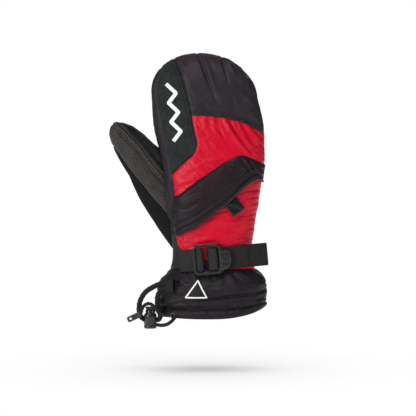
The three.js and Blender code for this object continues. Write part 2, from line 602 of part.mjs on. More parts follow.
// ---- Leash loop on the cuff, its braided cord, and the cord lock ----
const leash = new THREE.Group();
leash.position.set(-47.3, -34.4, 38);
leash.rotation.z = -deg(29);
model.add(leash);
const LEASH = { long: 11, deep: 8.6, high: 15.5, thick: 1.4, cord: 2.9 };
const rounded = (width, height, corner) => {
  const [x, y] = [width / 2, height / 2];
  return [
    [-x + corner, -y], [x - corner, -y], [x, -y + corner], [x, y - corner],
    [x - corner, y], [-x + corner, y], [-x, y - corner], [-x, -y + corner],
  ];
};
const leashOutline = rounded(LEASH.high, LEASH.deep, 2.5);
const leashHole = rounded(LEASH.high - 2 * LEASH.thick, LEASH.deep - 2 * LEASH.thick, 1.8);
const leashRing = extruded(leashOutline, LEASH.long, [leashHole])
  .translate(0, 0, -LEASH.long / 2)
  .rotateY(Math.PI / 2);
add("leash_loop", leashRing, MATERIAL.webbing, leash);

const LOCK = {
  x: -70.5, y: -24.5, foot: -11, top: 6, radius: 7.2,
  bore: 5.8, floor: 2, plunger: 5.5, cap: 13.8, hole: -0.8,
};
const upright = (radius, z0, z1, sides = 20) =>
  solid(
    new THREE.CylinderGeometry(radius, radius, z1 - z0, sides)
      .rotateX(Math.PI / 2)
      .translate(LOCK.x, LOCK.y, (z0 + z1) / 2),
  );
const sideways = (radius, length, z, turn, off) =>
  solid(
    new THREE.CylinderGeometry(radius, radius, length, 12).rotateZ(Math.PI / 2).translate(off, 0, 0)
      .rotateZ(turn).translate(LOCK.x, LOCK.y, z),
  );
const barrel = upright(LOCK.radius, LOCK.foot, LOCK.top)
  .subtract(upright(LOCK.bore, LOCK.foot + LOCK.floor, LOCK.top + 1))
  .subtract(sideways(3.2, 20, LOCK.hole, 0, 0))
  .subtract(sideways(2.2, 10, LOCK.hole - 5.6, -deg(40), 6));
addSolid("cord_lock_barrel", barrel, MATERIAL.plastic);
const PLUNGER_FOOT = -4;
const plunger = upright(LOCK.plunger, PLUNGER_FOOT, 10.5)
  .add(upright(LOCK.plunger - 0.6, 10, 11.2))
  .add(upright(LOCK.plunger, 11, LOCK.cap))
  .subtract(sideways(3, 20, LOCK.hole + 0.9, 0, 0));
addSolid("cord_lock_plunger", plunger, MATERIAL.plastic);
const spring = upright(3.6, LOCK.foot + LOCK.floor + GAP, PLUNGER_FOOT - GAP, 12);
addSolid("cord_lock_spring", spring.subtract(upright(2.4, LOCK.foot, PLUNGER_FOOT, 12)), MATERIAL.steel);

function cord(name, radius, points, steps, material = MATERIAL.cord) {
  const path = new THREE.CatmullRomCurve3(points.map(([x, y, z]) => new THREE.Vector3(x, y, z)));
  const corner = (i) => {
    const angle = (i * Math.PI) / 4;
    return new THREE.Vector2(radius * Math.cos(angle), radius * Math.sin(angle));
  };
  const shape = new THREE.Shape(Array.from({ length: 8 }, (_, i) => corner(i)));
  add(name, new THREE.ExtrudeGeometry(shape, { steps, bevelEnabled: false, extrudePath: path }), material);
}
cord("leash_cord_outer", LEASH.cord, [
  [-52.9, -31.4, 41.1], [-58, -29, 40.4], [-66.8, -27, 36.6], [-76, -26, 30.4],
  [-81.8, -25, 21], [-83.4, -24.5, 11], [-82.4, -24.5, 3], [-79.3, -24.5, -0.8],
], 22);
cord("leash_cord_inner", LEASH.cord, [
  [-52.9, -31.4, 34.9], [-57, -29.6, 33.4], [-61.5, -28, 27.5], [-62.4, -27, 19],
  [-60.6, -25.5, 11], [-59.2, -24.8, 4.5], [-59.6, -24.5, 0.6], [-62, -24.5, -0.8],
], 20);
const DRAW = 2; // radius of the hem's drawcord
cord("drawcord_lower", DRAW, [
  [-43, -37.4, 1.4], [-46, -37.6, -2], [-51.4, -36.5, -5.6], [-58, -33.6, -6.8], [-62.6, -30.9, -6.4],
], 12);
cord("drawcord_upper", DRAW, [
  [-47.6, -36.6, 5.4], [-53, -36.4, 4.8], [-60, -36, 7], [-65.5, -35.6, 14.5], [-72, -34.6, 18],
  [-78, -33.6, 14.6], [-80.4, -33, 9],
], 18);
const TAB = { long: 17, wide: 6.6, thick: 2.2, tilt: 25 };
const tabShape = extruded(rounded(TAB.long, TAB.wide, 1.2), TAB.thick)
  .rotateX(Math.PI / 2)
  .rotateY(-deg(TAB.tilt));
add("drawcord_tab", tabShape.translate(-88.4, -33, 2.6), MATERIAL.plastic);
const eyelet = (x, y, z, turn) =>
  new THREE.TorusGeometry(3, 0.7, 6, 16).rotateX(Math.PI / 2).rotateZ(turn).translate(x, y, z);
add("cord_eyelet", eyelet(-44.6, -33.4, 3.9, -deg(38)), MATERIAL.steel);

export default model;
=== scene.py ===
# Right-hand ski mitten: shell panels, flap, strap and buckle, thumb, cuff, cords and cord lock,
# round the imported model.
# Lengths in the tables are millimetres; the mesh helpers turn them into metres.
import math

import bpy
import numpy as np
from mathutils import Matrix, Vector
from mathutils.bvhtree import BVHTree
from mathutils.kdtree import KDTree


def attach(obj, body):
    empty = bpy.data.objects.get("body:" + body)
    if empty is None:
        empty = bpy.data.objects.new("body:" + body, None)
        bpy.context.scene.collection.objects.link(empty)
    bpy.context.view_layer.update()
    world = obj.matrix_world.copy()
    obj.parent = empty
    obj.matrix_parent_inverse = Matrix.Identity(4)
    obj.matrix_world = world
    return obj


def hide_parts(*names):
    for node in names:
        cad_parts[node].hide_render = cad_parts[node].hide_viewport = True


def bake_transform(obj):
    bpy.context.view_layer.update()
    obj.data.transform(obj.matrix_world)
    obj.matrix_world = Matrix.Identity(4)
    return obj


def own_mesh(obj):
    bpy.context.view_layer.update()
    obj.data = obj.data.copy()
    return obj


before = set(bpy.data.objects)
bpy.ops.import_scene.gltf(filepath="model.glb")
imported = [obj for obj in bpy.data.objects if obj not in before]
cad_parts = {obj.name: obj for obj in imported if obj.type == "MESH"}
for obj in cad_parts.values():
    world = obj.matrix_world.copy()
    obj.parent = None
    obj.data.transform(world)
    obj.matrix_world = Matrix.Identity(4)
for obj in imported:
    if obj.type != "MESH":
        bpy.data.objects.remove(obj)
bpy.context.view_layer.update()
MM = 0.001
SEED = 7

# ---- Dimensions shared with the CAD ----
CUFF_TOP = 57
DOME_START, DOME_HEIGHT, DOME_LEAN = 258, 48.5, 6
DOME_ROWS = 52
BACK_POWER, PALM_POWER = 2.4, 3.2
CURL, CURL_START = 10, 150
CURL_SPAN = DOME_START + DOME_HEIGHT - CURL_START
STATIONS = [
    [-6, -62, 60, 37, 36],
    [3, -64, 62, 38.5, 37.5],
    [12, -62, 61.5, 36.5, 36],
    [18, -64, 63, 39, 38],
    [24, -62, 62.5, 37.5, 37],
    [34, -63, 63, 39.5, 38.5],
    [45, -59, 60, 33.5, 33],
    [51, -54.5, 56, 29.8, 29.5],
    [57, -48.5, 50, 28.8, 28.6],
    [68, -45.5, 46, 29, 28],
    [90, -46, 46.5, 29, 27.5],
    [120, -52, 51, 31, 28],
    [150, -55, 56, 32.5, 28.6],
    [180, -58, 60, 31.5, 27.4],
    [220, -67, 59.5, 28, 24],
    [258, -70, 52, 25, 21],
]
THUMB = [
    [-24, 84, 6, 20, 15],
    [-42, 118, 9, 25, 17],
    [-60, 152, 11, 27.5, 19],
    [-82, 184, 10, 22.5, 17.5],
    [-100, 206, 8, 18, 15],
]
THUMB_CAP = 17
TIP_SEAM = [[-90, 240], [-23, 234.5], [12, 231.5], [37, 225], [59, 214], [80, 198]]
FLAP_TOP = [[-90, 108], [-43, 139.5], [1.5, 170.5], [17, 181.5], [30, 187], [41, 186], [59, 177], [80, 160]]
FLAP_FOOT = [[-90, 78], [-43, 94], [-18, 105], [4, 119], [19, 130], [34, 145], [45, 154], [52, 157],
             [80, 152]]
PATCH_FOOT = [[-90, 128], [-46, 165], [-33, 177], [-22, 186.5], [-12, 195], [0, 205]]
PALM_SEAM = [[-150, 236], [-115, 199], [-93, 169], [-75, 147], [-58, 127], [-40, 110], [0, 98], [80, 94]]
THUMB_SEAM = [[-150, 262], [-112, 223], [-87, 198], [-64, 168], [-40, 145]]
HEM_FOOT = [[-90, 8], [-64, 4], [-40, 1], [-10, 0], [20, 1], [45, 6], [64, 13], [90, 20]]
HEM_SEAM = [[-90, 17], [-64, 14], [-40, 11.5], [-10, 10.5], [20, 11], [45, 14], [64, 19], [90, 25]]
LEFT_SEAM = [
    [-10, 12], [50, 12], [57, 10], [63, 2], [71, -20], [80, -36.5], [95, -42.5], [111, -44.5], [141, -43],
    [168, -47],
    [199, -52.5], [221, -56], [262, -64.5], [285, -60], [320, -52],
]
PATCH_EDGE = [[150, -10], [199, -16.5], [216, -20.5], [234, -23.5], [254, -28], [274, -33.5], [294, -41],
              [320, -55]]
ZIP = {"x": 5, "z": 134.65, "slope": 37.5, "half": 36, "slot": 9}

# ---- Camera and light ----
scene = bpy.context.scene
VIEW_DISTANCE = 1.794
VIEW_CENTRE = (-0.0046, -0.012, 0.1265)
camera_data = bpy.data.cameras.new("camera")
camera_data.lens = 135
camera_data.sensor_width = 36
camera_data.clip_end = 50
camera = bpy.data.objects.new("camera", camera_data)
camera.location = (VIEW_CENTRE[0], VIEW_CENTRE[1] - VIEW_DISTANCE, VIEW_CENTRE[2])
camera.rotation_euler = (math.pi / 2, 0, 0)
scene.collection.objects.link(camera)
scene.camera = camera
scene.view_settings.view_transform = "Standard"


def sun(name, energy, azimuth, elevation, spread):
    """Azimuth 0 comes from the camera's side, positive from the right."""
    data = bpy.data.lights.new(name, "SUN")
    data.energy = energy
    data.angle = math.radians(spread)
    lamp = bpy.data.objects.new(name, data)
    lamp.rotation_euler = (math.radians(90 - elevation), 0, math.radians(azimuth))
    scene.collection.objects.link(lamp)
    return lamp


object_lights = [
    sun("top_light", 1.2, -8, 60, 20),
    sun("key_light", 1.8, -48, 15, 16),
    sun("right_light", 0.42, 58, 8, 14),
    sun("back_light", 0.4, 180, 30, 60),
]
floor_light = sun("floor_light", 1.85, 0, 88, 84)


def nodes_of(tree):
    tree.nodes.clear()

    def make(kind, inputs=None, **settings):
        node = tree.nodes.new("ShaderNode" + kind)
        for key, value in settings.items():
            setattr(node, key, value)
        for key, value in (inputs or {}).items():
            target = node.inputs[key]
            if hasattr(value, "is_output"):
                tree.links.new(value, target)
            else:
                target.default_value = value
        return node

    return make


world = bpy.data.worlds.new("studio")
scene.world = world
world.use_nodes = True
make = nodes_of(world.node_tree)
seen = make("Background", {"Color": (1, 1, 1, 1), "Strength": 1.02})
lit = make("Background", {"Color": (0.97, 0.98, 1, 1), "Strength": 0.075})
ray = make("LightPath")
mixed = make("MixShader", {0: ray.outputs["Is Camera Ray"], 1: lit.outputs[0], 2: seen.outputs[0]})
make("OutputWorld", {"Surface": mixed.outputs[0]})


# ---- Materials ----
def srgb(color):
    return tuple(((c / 255 + 0.055) / 1.055) ** 2.4 if c > 10 else c / 255 / 12.92 for c in color) + (1,)


class Finish:
    """A material's nodes: each method adds one and returns its output."""

    def __init__(self, name):
        self.made = bpy.data.materials.new(name)
        self.made.use_nodes = True
        self.make = nodes_of(self.made.node_tree)
        self.where = self.make("TexCoord").outputs["Object"]

    def cloud(self, scale, detail, roughness=0.5):
        return self.make(
            "TexNoise", {"Vector": self.where, "Scale": scale, "Detail": detail, "Roughness": roughness}
        ).outputs[0]

    def remap(self, value, *limits):
        return self.make("MapRange", {0: value, **dict(enumerate(limits, 1))}).outputs[0]

    def mix(self, share, first, second, **settings):
        return self.make("Mix", {0: share, 6: first, 7: second}, data_type="RGBA", **settings).outputs[2]

    def math(self, operation, *values):
        return self.make("Math", dict(enumerate(values)), operation=operation).outputs[0]

    def bump(self, height, distance, strength=1, **inputs):
        return self.make("Bump", {"Height": height, "Distance": distance, "Strength": strength,
                                  **inputs}).outputs[0]

    def end(self, **inputs):
        shader = self.make("BsdfPrincipled", {key.replace("_", " "): value for key, value in inputs.items()})
        self.make("OutputMaterial", {"Surface": shader.outputs[0]})
        return self.made


def fabric(name, color, dark, roughness, pitch, sheen=0.0, mottle=60, weave_height=0.00002, crinkle=0.0,
           crinkle_scale=180, specular=0.5):
    """Woven cloth: colour that varies a little, a plain weave, fine crinkles and sheen."""
    cloth = Finish(name)
    patches = cloth.cloud(mottle, 5, 0.6)
    base = cloth.mix(cloth.remap(patches, 0.3, 0.7), srgb(dark), srgb(color))
    split = cloth.make("SeparateXYZ", {0: cloth.where})
    waves = [cloth.math("SINE", cloth.math("MULTIPLY", split.outputs[axis],
                                           2 * math.pi / pitch)) for axis in (0, 2)]
    threads = cloth.math("MULTIPLY", *waves)
    woven = cloth.mix(1, base, cloth.remap(threads, -1, 1, 0.92, 1.05), blend_type="MULTIPLY")
    normal = cloth.bump(threads, weave_height, 0.8)
    if crinkle:
        creases = cloth.make("TexNoise", {
            "Vector": cloth.where, "Scale": crinkle_scale, "Detail": 3, "Roughness": 0.5, "Offset": 0.9,
            "Gain": 1.6, "Distortion": 0.8,
        }, noise_type="RIDGED_MULTIFRACTAL").outputs[0]
        amount = cloth.remap(cloth.cloud(32, 2), 0.42, 0.62, 0.15, 1)
        normal = cloth.bump(creases, crinkle, amount, Normal=normal)
    return cloth.end(
        Base_Color=woven, Roughness=cloth.remap(patches, 0.2, 0.8, roughness - 0.06, roughness + 0.06),
        Normal=normal, Sheen_Weight=sheen, Sheen_Roughness=0.4, Specular_IOR_Level=specular,
    )


def suede(name, color, dark):
    nap = Finish(name)
    base = nap.mix(nap.remap(nap.cloud(110, 6, 0.65), 0.35, 0.65), srgb(dark), srgb(color))
    return nap.end(
        Base_Color=base, Roughness=0.95, Normal=nap.bump(nap.cloud(1400, 3, 0.7), 0.0002, 0.9),
        Sheen_Weight=0.06,
        Sheen_Roughness=0.5, Sheen_Tint=(0.75, 0.85, 0.8, 1), Specular_IOR_Level=0.1,
    )


def embossed(name, color, dark, light, pitch, tilt, share):
    """Polyurethane with rows of fine raised dots; a share below 1 draws them out into ribs."""
    skin = Finish(name)
    turned = skin.make("Mapping", {"Vector": skin.where, "Rotation": (0, tilt, 0)})
    split = skin.make("SeparateXYZ", {0: turned.outputs[0]})
    rows = [
        skin.math("ABSOLUTE", skin.math("SINE", skin.math("MULTIPLY", split.outputs[axis],
                                                          math.pi * part / pitch)))
        for axis, part in ((0, 1.0), (2, share))
    ]
    dots = skin.remap(skin.math("MULTIPLY", *rows), 0.25, 0.8, 0, 1)
    patches = skin.cloud(90, 5, 0.6)
    shine = skin.math("MULTIPLY", dots, skin.remap(patches, 0.3, 0.7, 0.45, 1))
    base = skin.mix(shine, skin.mix(patches, srgb(dark), srgb(color)), srgb(light))
    return skin.end(
        Base_Color=base, Roughness=0.5, Normal=skin.bump(dots, 0.0004), Specular_IOR_Level=0.25,
    )


def plastic(name, color, dark, roughness, metallic=0.0):
    """Moulded plastic or metal with a fine grain, and a painted highlight that lightens its edges as if light
    caught them.
    """
    cast = Finish(name)
    cloud = cast.cloud(130, 5, 0.6)
    # Painted highlight: edges lightened by their pointiness, standing in for light catching the rims.
    painted_edge_highlight = cast.remap(cast.make("NewGeometry").outputs["Pointiness"], 0.51, 0.58, 0, 0.5)
    highlight_colour = tuple(min(1, 2.2 * c + 0.01) for c in srgb(color)[:3]) + (1,)
    base = cast.mix(painted_edge_highlight, cast.mix(cast.remap(cloud, 0.35, 0.7), srgb(dark), srgb(color)), highlight_colour)
    return cast.end(
        Base_Color=base, Roughness=cast.remap(cloud, 0.2, 0.8, roughness - 0.08, roughness + 0.08),
        Metallic=metallic, Normal=cast.bump(cast.cloud(900, 3), 0.00003),
    )


RED = fabric("red_nylon_cloth", (208, 0, 42), (188, 0, 34), 0.4, 0.0006, crinkle=0.0002,
             crinkle_scale=110, specular=0.2)
BLACK = fabric("black_nylon_cloth", (50, 44, 50), (42, 37, 42), 0.43, 0.0006, crinkle=0.00013,
               crinkle_scale=90, specular=0.13)
CUFF_CLOTH = fabric("cuff_nylon_cloth", (38, 34, 38), (30, 27, 30), 0.45, 0.0006, crinkle=0.00015,
                    crinkle_scale=100, specular=0.13)
FLAP_CLOTH = fabric("flap_cloth", (38, 30, 35), (31, 24, 28), 0.42, 0.0006, crinkle=0.0001,
                    crinkle_scale=100, specular=0.13)
GUSSET_CLOTH = fabric("gusset_cloth", (45, 40, 47), (37, 33, 39), 0.45, 0.0006, crinkle=0.0002,
                      crinkle_scale=90, specular=0.13)
SOFTSHELL = fabric("softshell_cloth", (26, 25, 25), (20, 19, 19), 0.85, 0.0005, sheen=0.02,
                   crinkle=0.0001, crinkle_scale=120, specular=0.1)
SUEDE = suede("suede_patch", (44, 48, 46), (34, 37, 35))
GRIP = embossed("embossed_palm", (28, 26, 26), (15, 14, 14), (96, 92, 88), 0.0022, 0.62, 1.0)
GRIP_RIBS = embossed("ribbed_palm", (20, 19, 19), (9, 9, 9), (70, 67, 65), 0.0023, -0.88, 0.14)
PALM_GRIP = embossed("palm_grip", (52, 52, 52), (40, 40, 40), (110, 108, 106), 0.0028, 0.2, 1.0)
WEBBING = fabric("webbing_weave", (17, 16, 16), (9, 9, 9), 0.6, 0.0016, weave_height=0.0002, mottle=500,
                 specular=0.3)
WEBBING_SOFT = fabric("webbing_faded", (23, 21, 21), (13, 12, 12), 0.42, 0.0014, weave_height=0.0002,
                      mottle=400, specular=0.35)
BINDING = fabric("binding_tape", (24, 21, 24), (17, 15, 17), 0.45, 0.0009, sheen=0.01,
                 weave_height=0.0001, specular=0.35)
THREAD = fabric("black_thread", (20, 19, 20), (12, 11, 12), 0.5, 0.0006, specular=0.3)
GREY_THREAD = fabric("grey_thread", (118, 114, 112), (90, 87, 85), 0.6, 0.0006)
WHITE = fabric("white_print", (250, 250, 250), (242, 242, 242), 0.55, 0.0009, sheen=0.05)
CORD = fabric("braided_cord", (34, 33, 30), (9, 9, 8), 0.75, 0.0013, sheen=0.02, mottle=900,
              weave_height=0.0002, specular=0.3)
FLEECE = suede("fleece_pile", (50, 48, 52), (36, 35, 38))
PLASTIC = plastic("buckle_plastic", (25, 26, 27), (17, 18, 19), 0.3)
SATIN = fabric("satin_ribbon", (17, 15, 15), (9, 8, 8), 0.3, 0.0005, specular=0.4)
LOCK_PLASTIC = plastic("lock_plastic", (34, 30, 29), (25, 22, 21), 0.3)
TAB_PLASTIC = plastic("tab_plastic", (52, 47, 46), (42, 38, 37), 0.42)
STEEL = plastic("dark_steel", (120, 120, 122), (90, 90, 92), 0.35, metallic=0.9)
WADDING = suede("wadding_fibre", (232, 229, 222), (214, 211, 204))
FILM = plastic("film_laminate", (210, 214, 220), (196, 200, 206), 0.5)
paint = Finish("floor_paint")
FLOOR_PAINT = paint.end(
    Base_Color=paint.mix(paint.cloud(40, 3), (0.90, 0.90, 0.90, 1), (0.92, 0.92, 0.92, 1)), Roughness=0.9,
    Specular_IOR_Level=0.1, Emission_Color=(1, 1, 1, 1), Emission_Strength=0.42,
)


# ---- Mesh helpers ----
def mesh_piece(name, points, faces, cloth, body, slot, thick=0.0, cover=()):
    """A piece from points in mm; thick adds cloth behind it, and with no body its transform is baked into the
    mesh.
    """
    data = bpy.data.meshes.new(name)
    data.from_pydata([tuple(c * MM for c in p) for p in points], [], [tuple(f) for f in faces])
    data.validate()
    data.materials.append(cloth)
    data.shade_smooth()
    piece = bpy.data.objects.new(name, data)
    scene.collection.objects.link(piece)
    if body is None:
        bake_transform(piece)
    else:
        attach(piece, body)
    if thick:
        shell = piece.modifiers.new("cloth", "SOLIDIFY")
        shell.thickness = thick * MM
        shell.offset = -1
        shell.use_rim = True
    if cover:
        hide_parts(*cover)
    return piece


def along(rows, at, column=1):
    """Smooth value of a table's column, at one number or an array of them."""
    table = np.array(rows, float)
    xs, ys = table[:, 0], table[:, column]
    at = np.asarray(at, float)
    i = np.clip(np.searchsorted(xs, at, side="right") - 1, 0, len(xs) - 2)
    step = xs[i + 1] - xs[i]
    t = np.clip((at - xs[i]) / step, 0, 1)
    inner = (ys[2:] - ys[:-2]) / (xs[2:] - xs[:-2])
    slopes = np.concatenate([[(ys[1] - ys[0]) / (xs[1] - xs[0])], inner,
                             [(ys[-1] - ys[-2]) / (xs[-1] - xs[-2])]])
    ma, mb = slopes[i] * step, slopes[i + 1] * step
    return ((2 * t**3 - 3 * t**2 + 1) * ys[i] + (t**3 - 2 * t**2 + t) * ma
            + (3 * t**2 - 2 * t**3) * ys[i + 1] + (t**3 - t**2) * mb)


def curl(z):
    return CURL * (np.maximum(np.asarray(z, float) - CURL_START, 0) / CURL_SPAN) ** 2


def run_along(path):
    """Distance along a path at each of its points."""
    return np.concatenate([[0], np.cumsum(np.linalg.norm(np.diff(path, axis=0), axis=1))])


def sampled(at, run, path):
    """The path's points at the given distances along it."""
    return np.stack([np.interp(at, run, column) for column in np.transpose(path)], 1)


def unit(vectors):
    return vectors / np.linalg.norm(vectors, axis=-1)[..., None]


def power(value, exponent):
    return np.sign(value) * np.abs(value) ** exponent


def bell(value, width):
    """1 at 0, fading to nothing within about two widths."""
    return np.exp(-((value / width) ** 2))


def smooth_step(value, low, high):
    t = np.clip((value - low) / (high - low), 0, 1)
    return t * t * (3 - 2 * t)


rng = np.random.default_rng(SEED)
LATTICE = rng.permutation(256)
GRADIENTS = unit(rng.normal(size=(256, 3)))


def noise(points, scale, offset=0.0):
    """Smooth noise from about -1 to 1, with features of the given size in the points' unit."""
    p = np.asarray(points, float) / scale + offset
    cell = np.floor(p).astype(int)
    part = p - cell
    fade = part**3 * (part * (part * 6 - 15) + 10)
    total = np.zeros(len(p))
    for corner in range(8):
        step = np.array([corner & 1, corner >> 1 & 1, corner >> 2 & 1])
        key = cell + step
        hashed = LATTICE[(LATTICE[(LATTICE[key[:, 0] & 255] + key[:, 1]) & 255] + key[:, 2]) & 255]
        weight = np.prod(np.where(step, fade, 1 - fade), axis=1)
        total += weight * np.einsum("ij,ij->i", GRADIENTS[hashed], part - step)
    return total * 1.5


def stretched(points, direction, length, width):
    """Noise whose features run along a direction in the X-Z plane."""
    a = math.radians(direction)
    u = points[:, 0] * math.cos(a) + points[:, 2] * math.sin(a)
    v = -points[:, 0] * math.sin(a) + points[:, 2] * math.cos(a)
    return noise(np.stack([u / length, v / width, points[:, 1] / length], 1), 1.0)


def creased(value):
    """Turns smooth noise into sharp ridges with soft valleys."""
    return 1 - 2 * np.abs(value) ** 0.8


def fold(points, row):
    """Height of one fold: its width, its height, and the x and z of each point of its line."""
    width, height, *line = row
    path = np.array(line, float).reshape(-1, 2)
    best = np.full(len(points), 1e9)
    where = np.zeros(len(points))
    starts = run_along(path)
    for i, long in enumerate(np.diff(starts)):
        ahead = (path[i + 1] - path[i]) / long
        rel = points[:, [0, 2]] - path[i]
        t = np.clip(rel @ ahead, 0, long)
        gap = np.linalg.norm(rel - t[:, None] * ahead, axis=1)
        closer = gap < best
        best = np.where(closer, gap, best)
        where = np.where(closer, (starts[i] + t) / starts[-1], where)
    fade = np.sin(np.pi * np.clip(where * 0.9 + 0.05, 0, 1)) ** 0.7
    return height * fade * bell(best, width)


class Surface:
    """Points with outward normals, and faces that are cut along the zero lines of fields."""

    def __init__(self, grid, facing=1):
        self.points, self.normals = grid.reshape(-1, 3), facing * normals_of(grid).reshape(-1, 3)

    def cut(self, faces, *fields):
        """The faces cut by every field, grouped by the signs of the fields: {(True, False, ...): faces}."""
        groups = {(): list(faces)}
        for field in fields:
            values = field(self.points)
            values[np.abs(values) < 0.14] = 0
            points, normals, cuts, parted = list(self.points), list(self.normals), {}, {}

            def middle(a, b):
                key = (a, b) if a < b else (b, a)
                if key not in cuts:
                    share = values[key[0]] / (values[key[0]] - values[key[1]])
                    cuts[key] = len(points)
                    points.append(points[key[0]] * (1 - share) + points[key[1]] * share)
                    normals.append(unit(normals[key[0]] * (1 - share) + normals[key[1]] * share))
                return cuts[key]

            for signs, members in groups.items():
                inside, outside = parted.setdefault((*signs, True), []), parted.setdefault((*signs, False),
                [])
                for face in members:
                    at = [values[i] for i in face]
                    if min(at) >= 0:
                        inside.append(face)
                    elif max(at) <= 0:
                        outside.append(face)
                    else:
                        sides = ([], [])
                        for k, a in enumerate(face):
                            b = face[(k + 1) % len(face)]
                            va, vb = values[a], values[b]
                            if va >= 0:
                                sides[0].append(a)
                            if va <= 0:
                                sides[1].append(a)
                            if va * vb < 0:
                                m = middle(a, b)
                                sides[0].append(m)
                                sides[1].append(m)
                        if len(sides[0]) > 2:
                            inside.append(tuple(sides[0]))
                        if len(sides[1]) > 2:
                            outside.append(tuple(sides[1]))
            groups = parted
            self.points, self.normals = np.array(points), np.array(normals)
        return groups

    def panel(self, faces):
        """Points, normals, faces, distance to the edge and nearest edge point, of these faces only."""
        used = sorted({i for face in faces for i in face})
        index = {old: new for new, old in enumerate(used)}
        small = [tuple(index[i] for i in face) for face in faces]
        points, normals = self.points[used], self.normals[used]
        count = {}
        for face in small:
            for k, a in enumerate(face):
                b = face[(k + 1) % len(face)]
                key = (a, b) if a < b else (b, a)
                count[key] = count.get(key, 0) + 1
        edge = sorted({i for key, n in count.items() if n == 1 for i in key})
        if not edge:
            return points, normals, small, np.full(len(points), 50.0), points.copy()
        tree = KDTree(len(edge))
        for i in edge:
            tree.insert(points[i], i)
        tree.balance()
        found = [tree.find(p) for p in points]
        return points, normals, small, np.array([f[2] for f in found]), np.array([f[0] for f in found])


def normals_of(grid):
    """Outward normals of a grid of points, rows going up and columns round."""
    around = np.roll(grid, -1, axis=1) - np.roll(grid, 1, axis=1)
    normal = np.cross(around, np.gradient(grid, axis=0))
    return normal / np.maximum(np.linalg.norm(normal, axis=2), 1e-9)[:, :, None]


# ---- The hand's base surface ----
def ring_at(z, left, right, back, palm, n_back, n_palm):
    """One ring: the back from the left seam to the right one, then the palm, evenly spaced along each."""
    middle, half = (left + right) / 2, (right - left) / 2
    rows = []
    for n, depth, exponent, sign in ((n_back, back, BACK_POWER, -1), (n_palm, palm, PALM_POWER, 1)):
        angle = np.linspace(math.pi, 0, 400) if sign < 0 else np.linspace(0, math.pi, 400)
        x = middle + half * power(np.cos(angle), 2 / exponent)
        y = sign * depth * power(np.sin(angle), 2 / exponent)
        run = np.concatenate([[0], np.cumsum(np.hypot(np.diff(x), np.diff(y)))])
        at = np.linspace(0, run[-1], n + 1)[:-1]
        rows.append(np.stack([np.interp(at, run, x), np.interp(at, run, y), np.full(n, z)], 1))
    ring = np.concatenate(rows)
    ring[:, 1] += curl(z)
    return ring


def sizes_at(z, inset=0.0):
    left, right, back, palm = (along(STATIONS, z, column) for column in (1, 2, 3, 4))
    return left + inset, right - inset, back - inset, palm - inset


def hand_grid(low, pitch, n_back, n_palm, inset=0.0, dome_rows=DOME_ROWS):
    heights = np.linspace(low, DOME_START, int((DOME_START - low) / pitch) + 1)
    rings = [ring_at(z, *sizes_at(z, inset), n_back, n_palm) for z in heights]
    left, right, back, palm = sizes_at(DOME_START, inset)
    for i in range(1, dome_rows + 1):
        angle = math.pi / 2 * (i / dome_rows) * 0.985
        c, s = math.cos(angle), math.sin(angle)
        middle, half = (left + right) / 2 - DOME_LEAN * s, (right - left) / 2 * c
        z = DOME_START + (DOME_HEIGHT - inset) * s
        rings.append(ring_at(z, middle - half, middle + half, back * c, palm * c, n_back, n_palm))
    return np.array(rings)


def back_point(x, z, lift=0.0):
    """Point on the back of the shell at x and z (below the dome), lifted along its normal."""
    def base(u, w):
        left, right, back, _ = sizes_at(w)
        c = np.clip((u - (left + right) / 2) / ((right - left) / 2), -0.9995, 0.9995)
        return -back * (1 - np.abs(c) ** BACK_POWER) ** (1 / BACK_POWER) + curl(w)

    x, z = np.asarray(x, float), np.asarray(z, float)
    y = base(x, z)
    step = 0.05
    slope_x = (base(x + step, z) - base(x - step, z)) / (2 * step)
    slope_z = (base(x, z + step) - base(x, z - step)) / (2 * step)
    normal = np.stack([slope_x, -np.ones_like(y), slope_z], -1)
    normal = unit(normal)
    return np.stack([x, y, z], -1) + normal * np.asarray(lift)[..., None], normal


def quads(rows, columns, closed=True, looped=False):
    """Faces of a grid; closed joins its last column to the first, looped its last row to the first."""
    return [
        (i * columns + j, i * columns + (j + 1) % columns, k * columns + (j + 1) % columns, k * columns + j)
        for i in range(rows if looped else rows - 1) for k in [(i + 1) % rows]
        for j in range(columns if closed else columns - 1)
    ]


def slab(top, bottom, columns, looped=False):
    """Closed mesh between two grids of points."""
    under = len(top)
    sheet = quads(under // columns, columns, closed=False, looped=looped)
    edges = {(face[k - 1], face[k]) for face in sheet for k in range(4)}
    faces = sheet + [tuple(i + under for i in face[::-1]) for face in sheet]
    faces += [(b, a, a + under, b + under) for a, b in sorted(edges) if (b, a) not in edges]
    return np.array([*top, *bottom]), faces


def height_field(rows):
    return lambda p: p[:, 2] - along(rows, p[:, 0])


def zip_coordinates(points):
    a = math.radians(ZIP["slope"])
    dx, dz = points[:, 0] - ZIP["x"], points[:, 2] - ZIP["z"]
    return dx * math.cos(a) + dz * math.sin(a), -dx * math.sin(a) + dz * math.cos(a)


SEAM_DIP = 0.75


def relief(points, reach, near, puff=0.8, puff_width=7, pucker=0.35, pucker_size=3.2, pucker_reach=5,
           wrinkles=(), folds=(), rim=0.0, rim_at=2.6, ribs=0.0, dip=SEAM_DIP):
    """Height of a sewn panel above its flat shape: crown, sunk seam, puckers, wrinkles and folds."""
    height = puff * (1 - np.exp(-reach / puff_width)) - dip * bell(reach, 1.5)
    height += rim * bell(reach - rim_at, 1.3)
    gathers = noise(near, pucker_size) + 0.5 * noise(near, pucker_size * 0.5, 9)
    height += pucker * gathers * np.exp(-reach / pucker_reach) * smooth_step(reach, 0, 1.6)
    inner = smooth_step(reach, 0.5, 8)
    for amount, direction, length, width, sharp in wrinkles:
        value = stretched(points, direction, length, width)
        height += amount * (creased(value) if sharp else value) * inner
    if ribs:
        forward = points @ np.array([-0.55, 0, 0.835])
        height += ribs * np.sin(forward * 2 * math.pi / 1.9) * smooth_step(reach, 1.2, 2.4)
    for row in folds:
        height += fold(points, row) * smooth_step(reach, 0.3, 3)
    return height


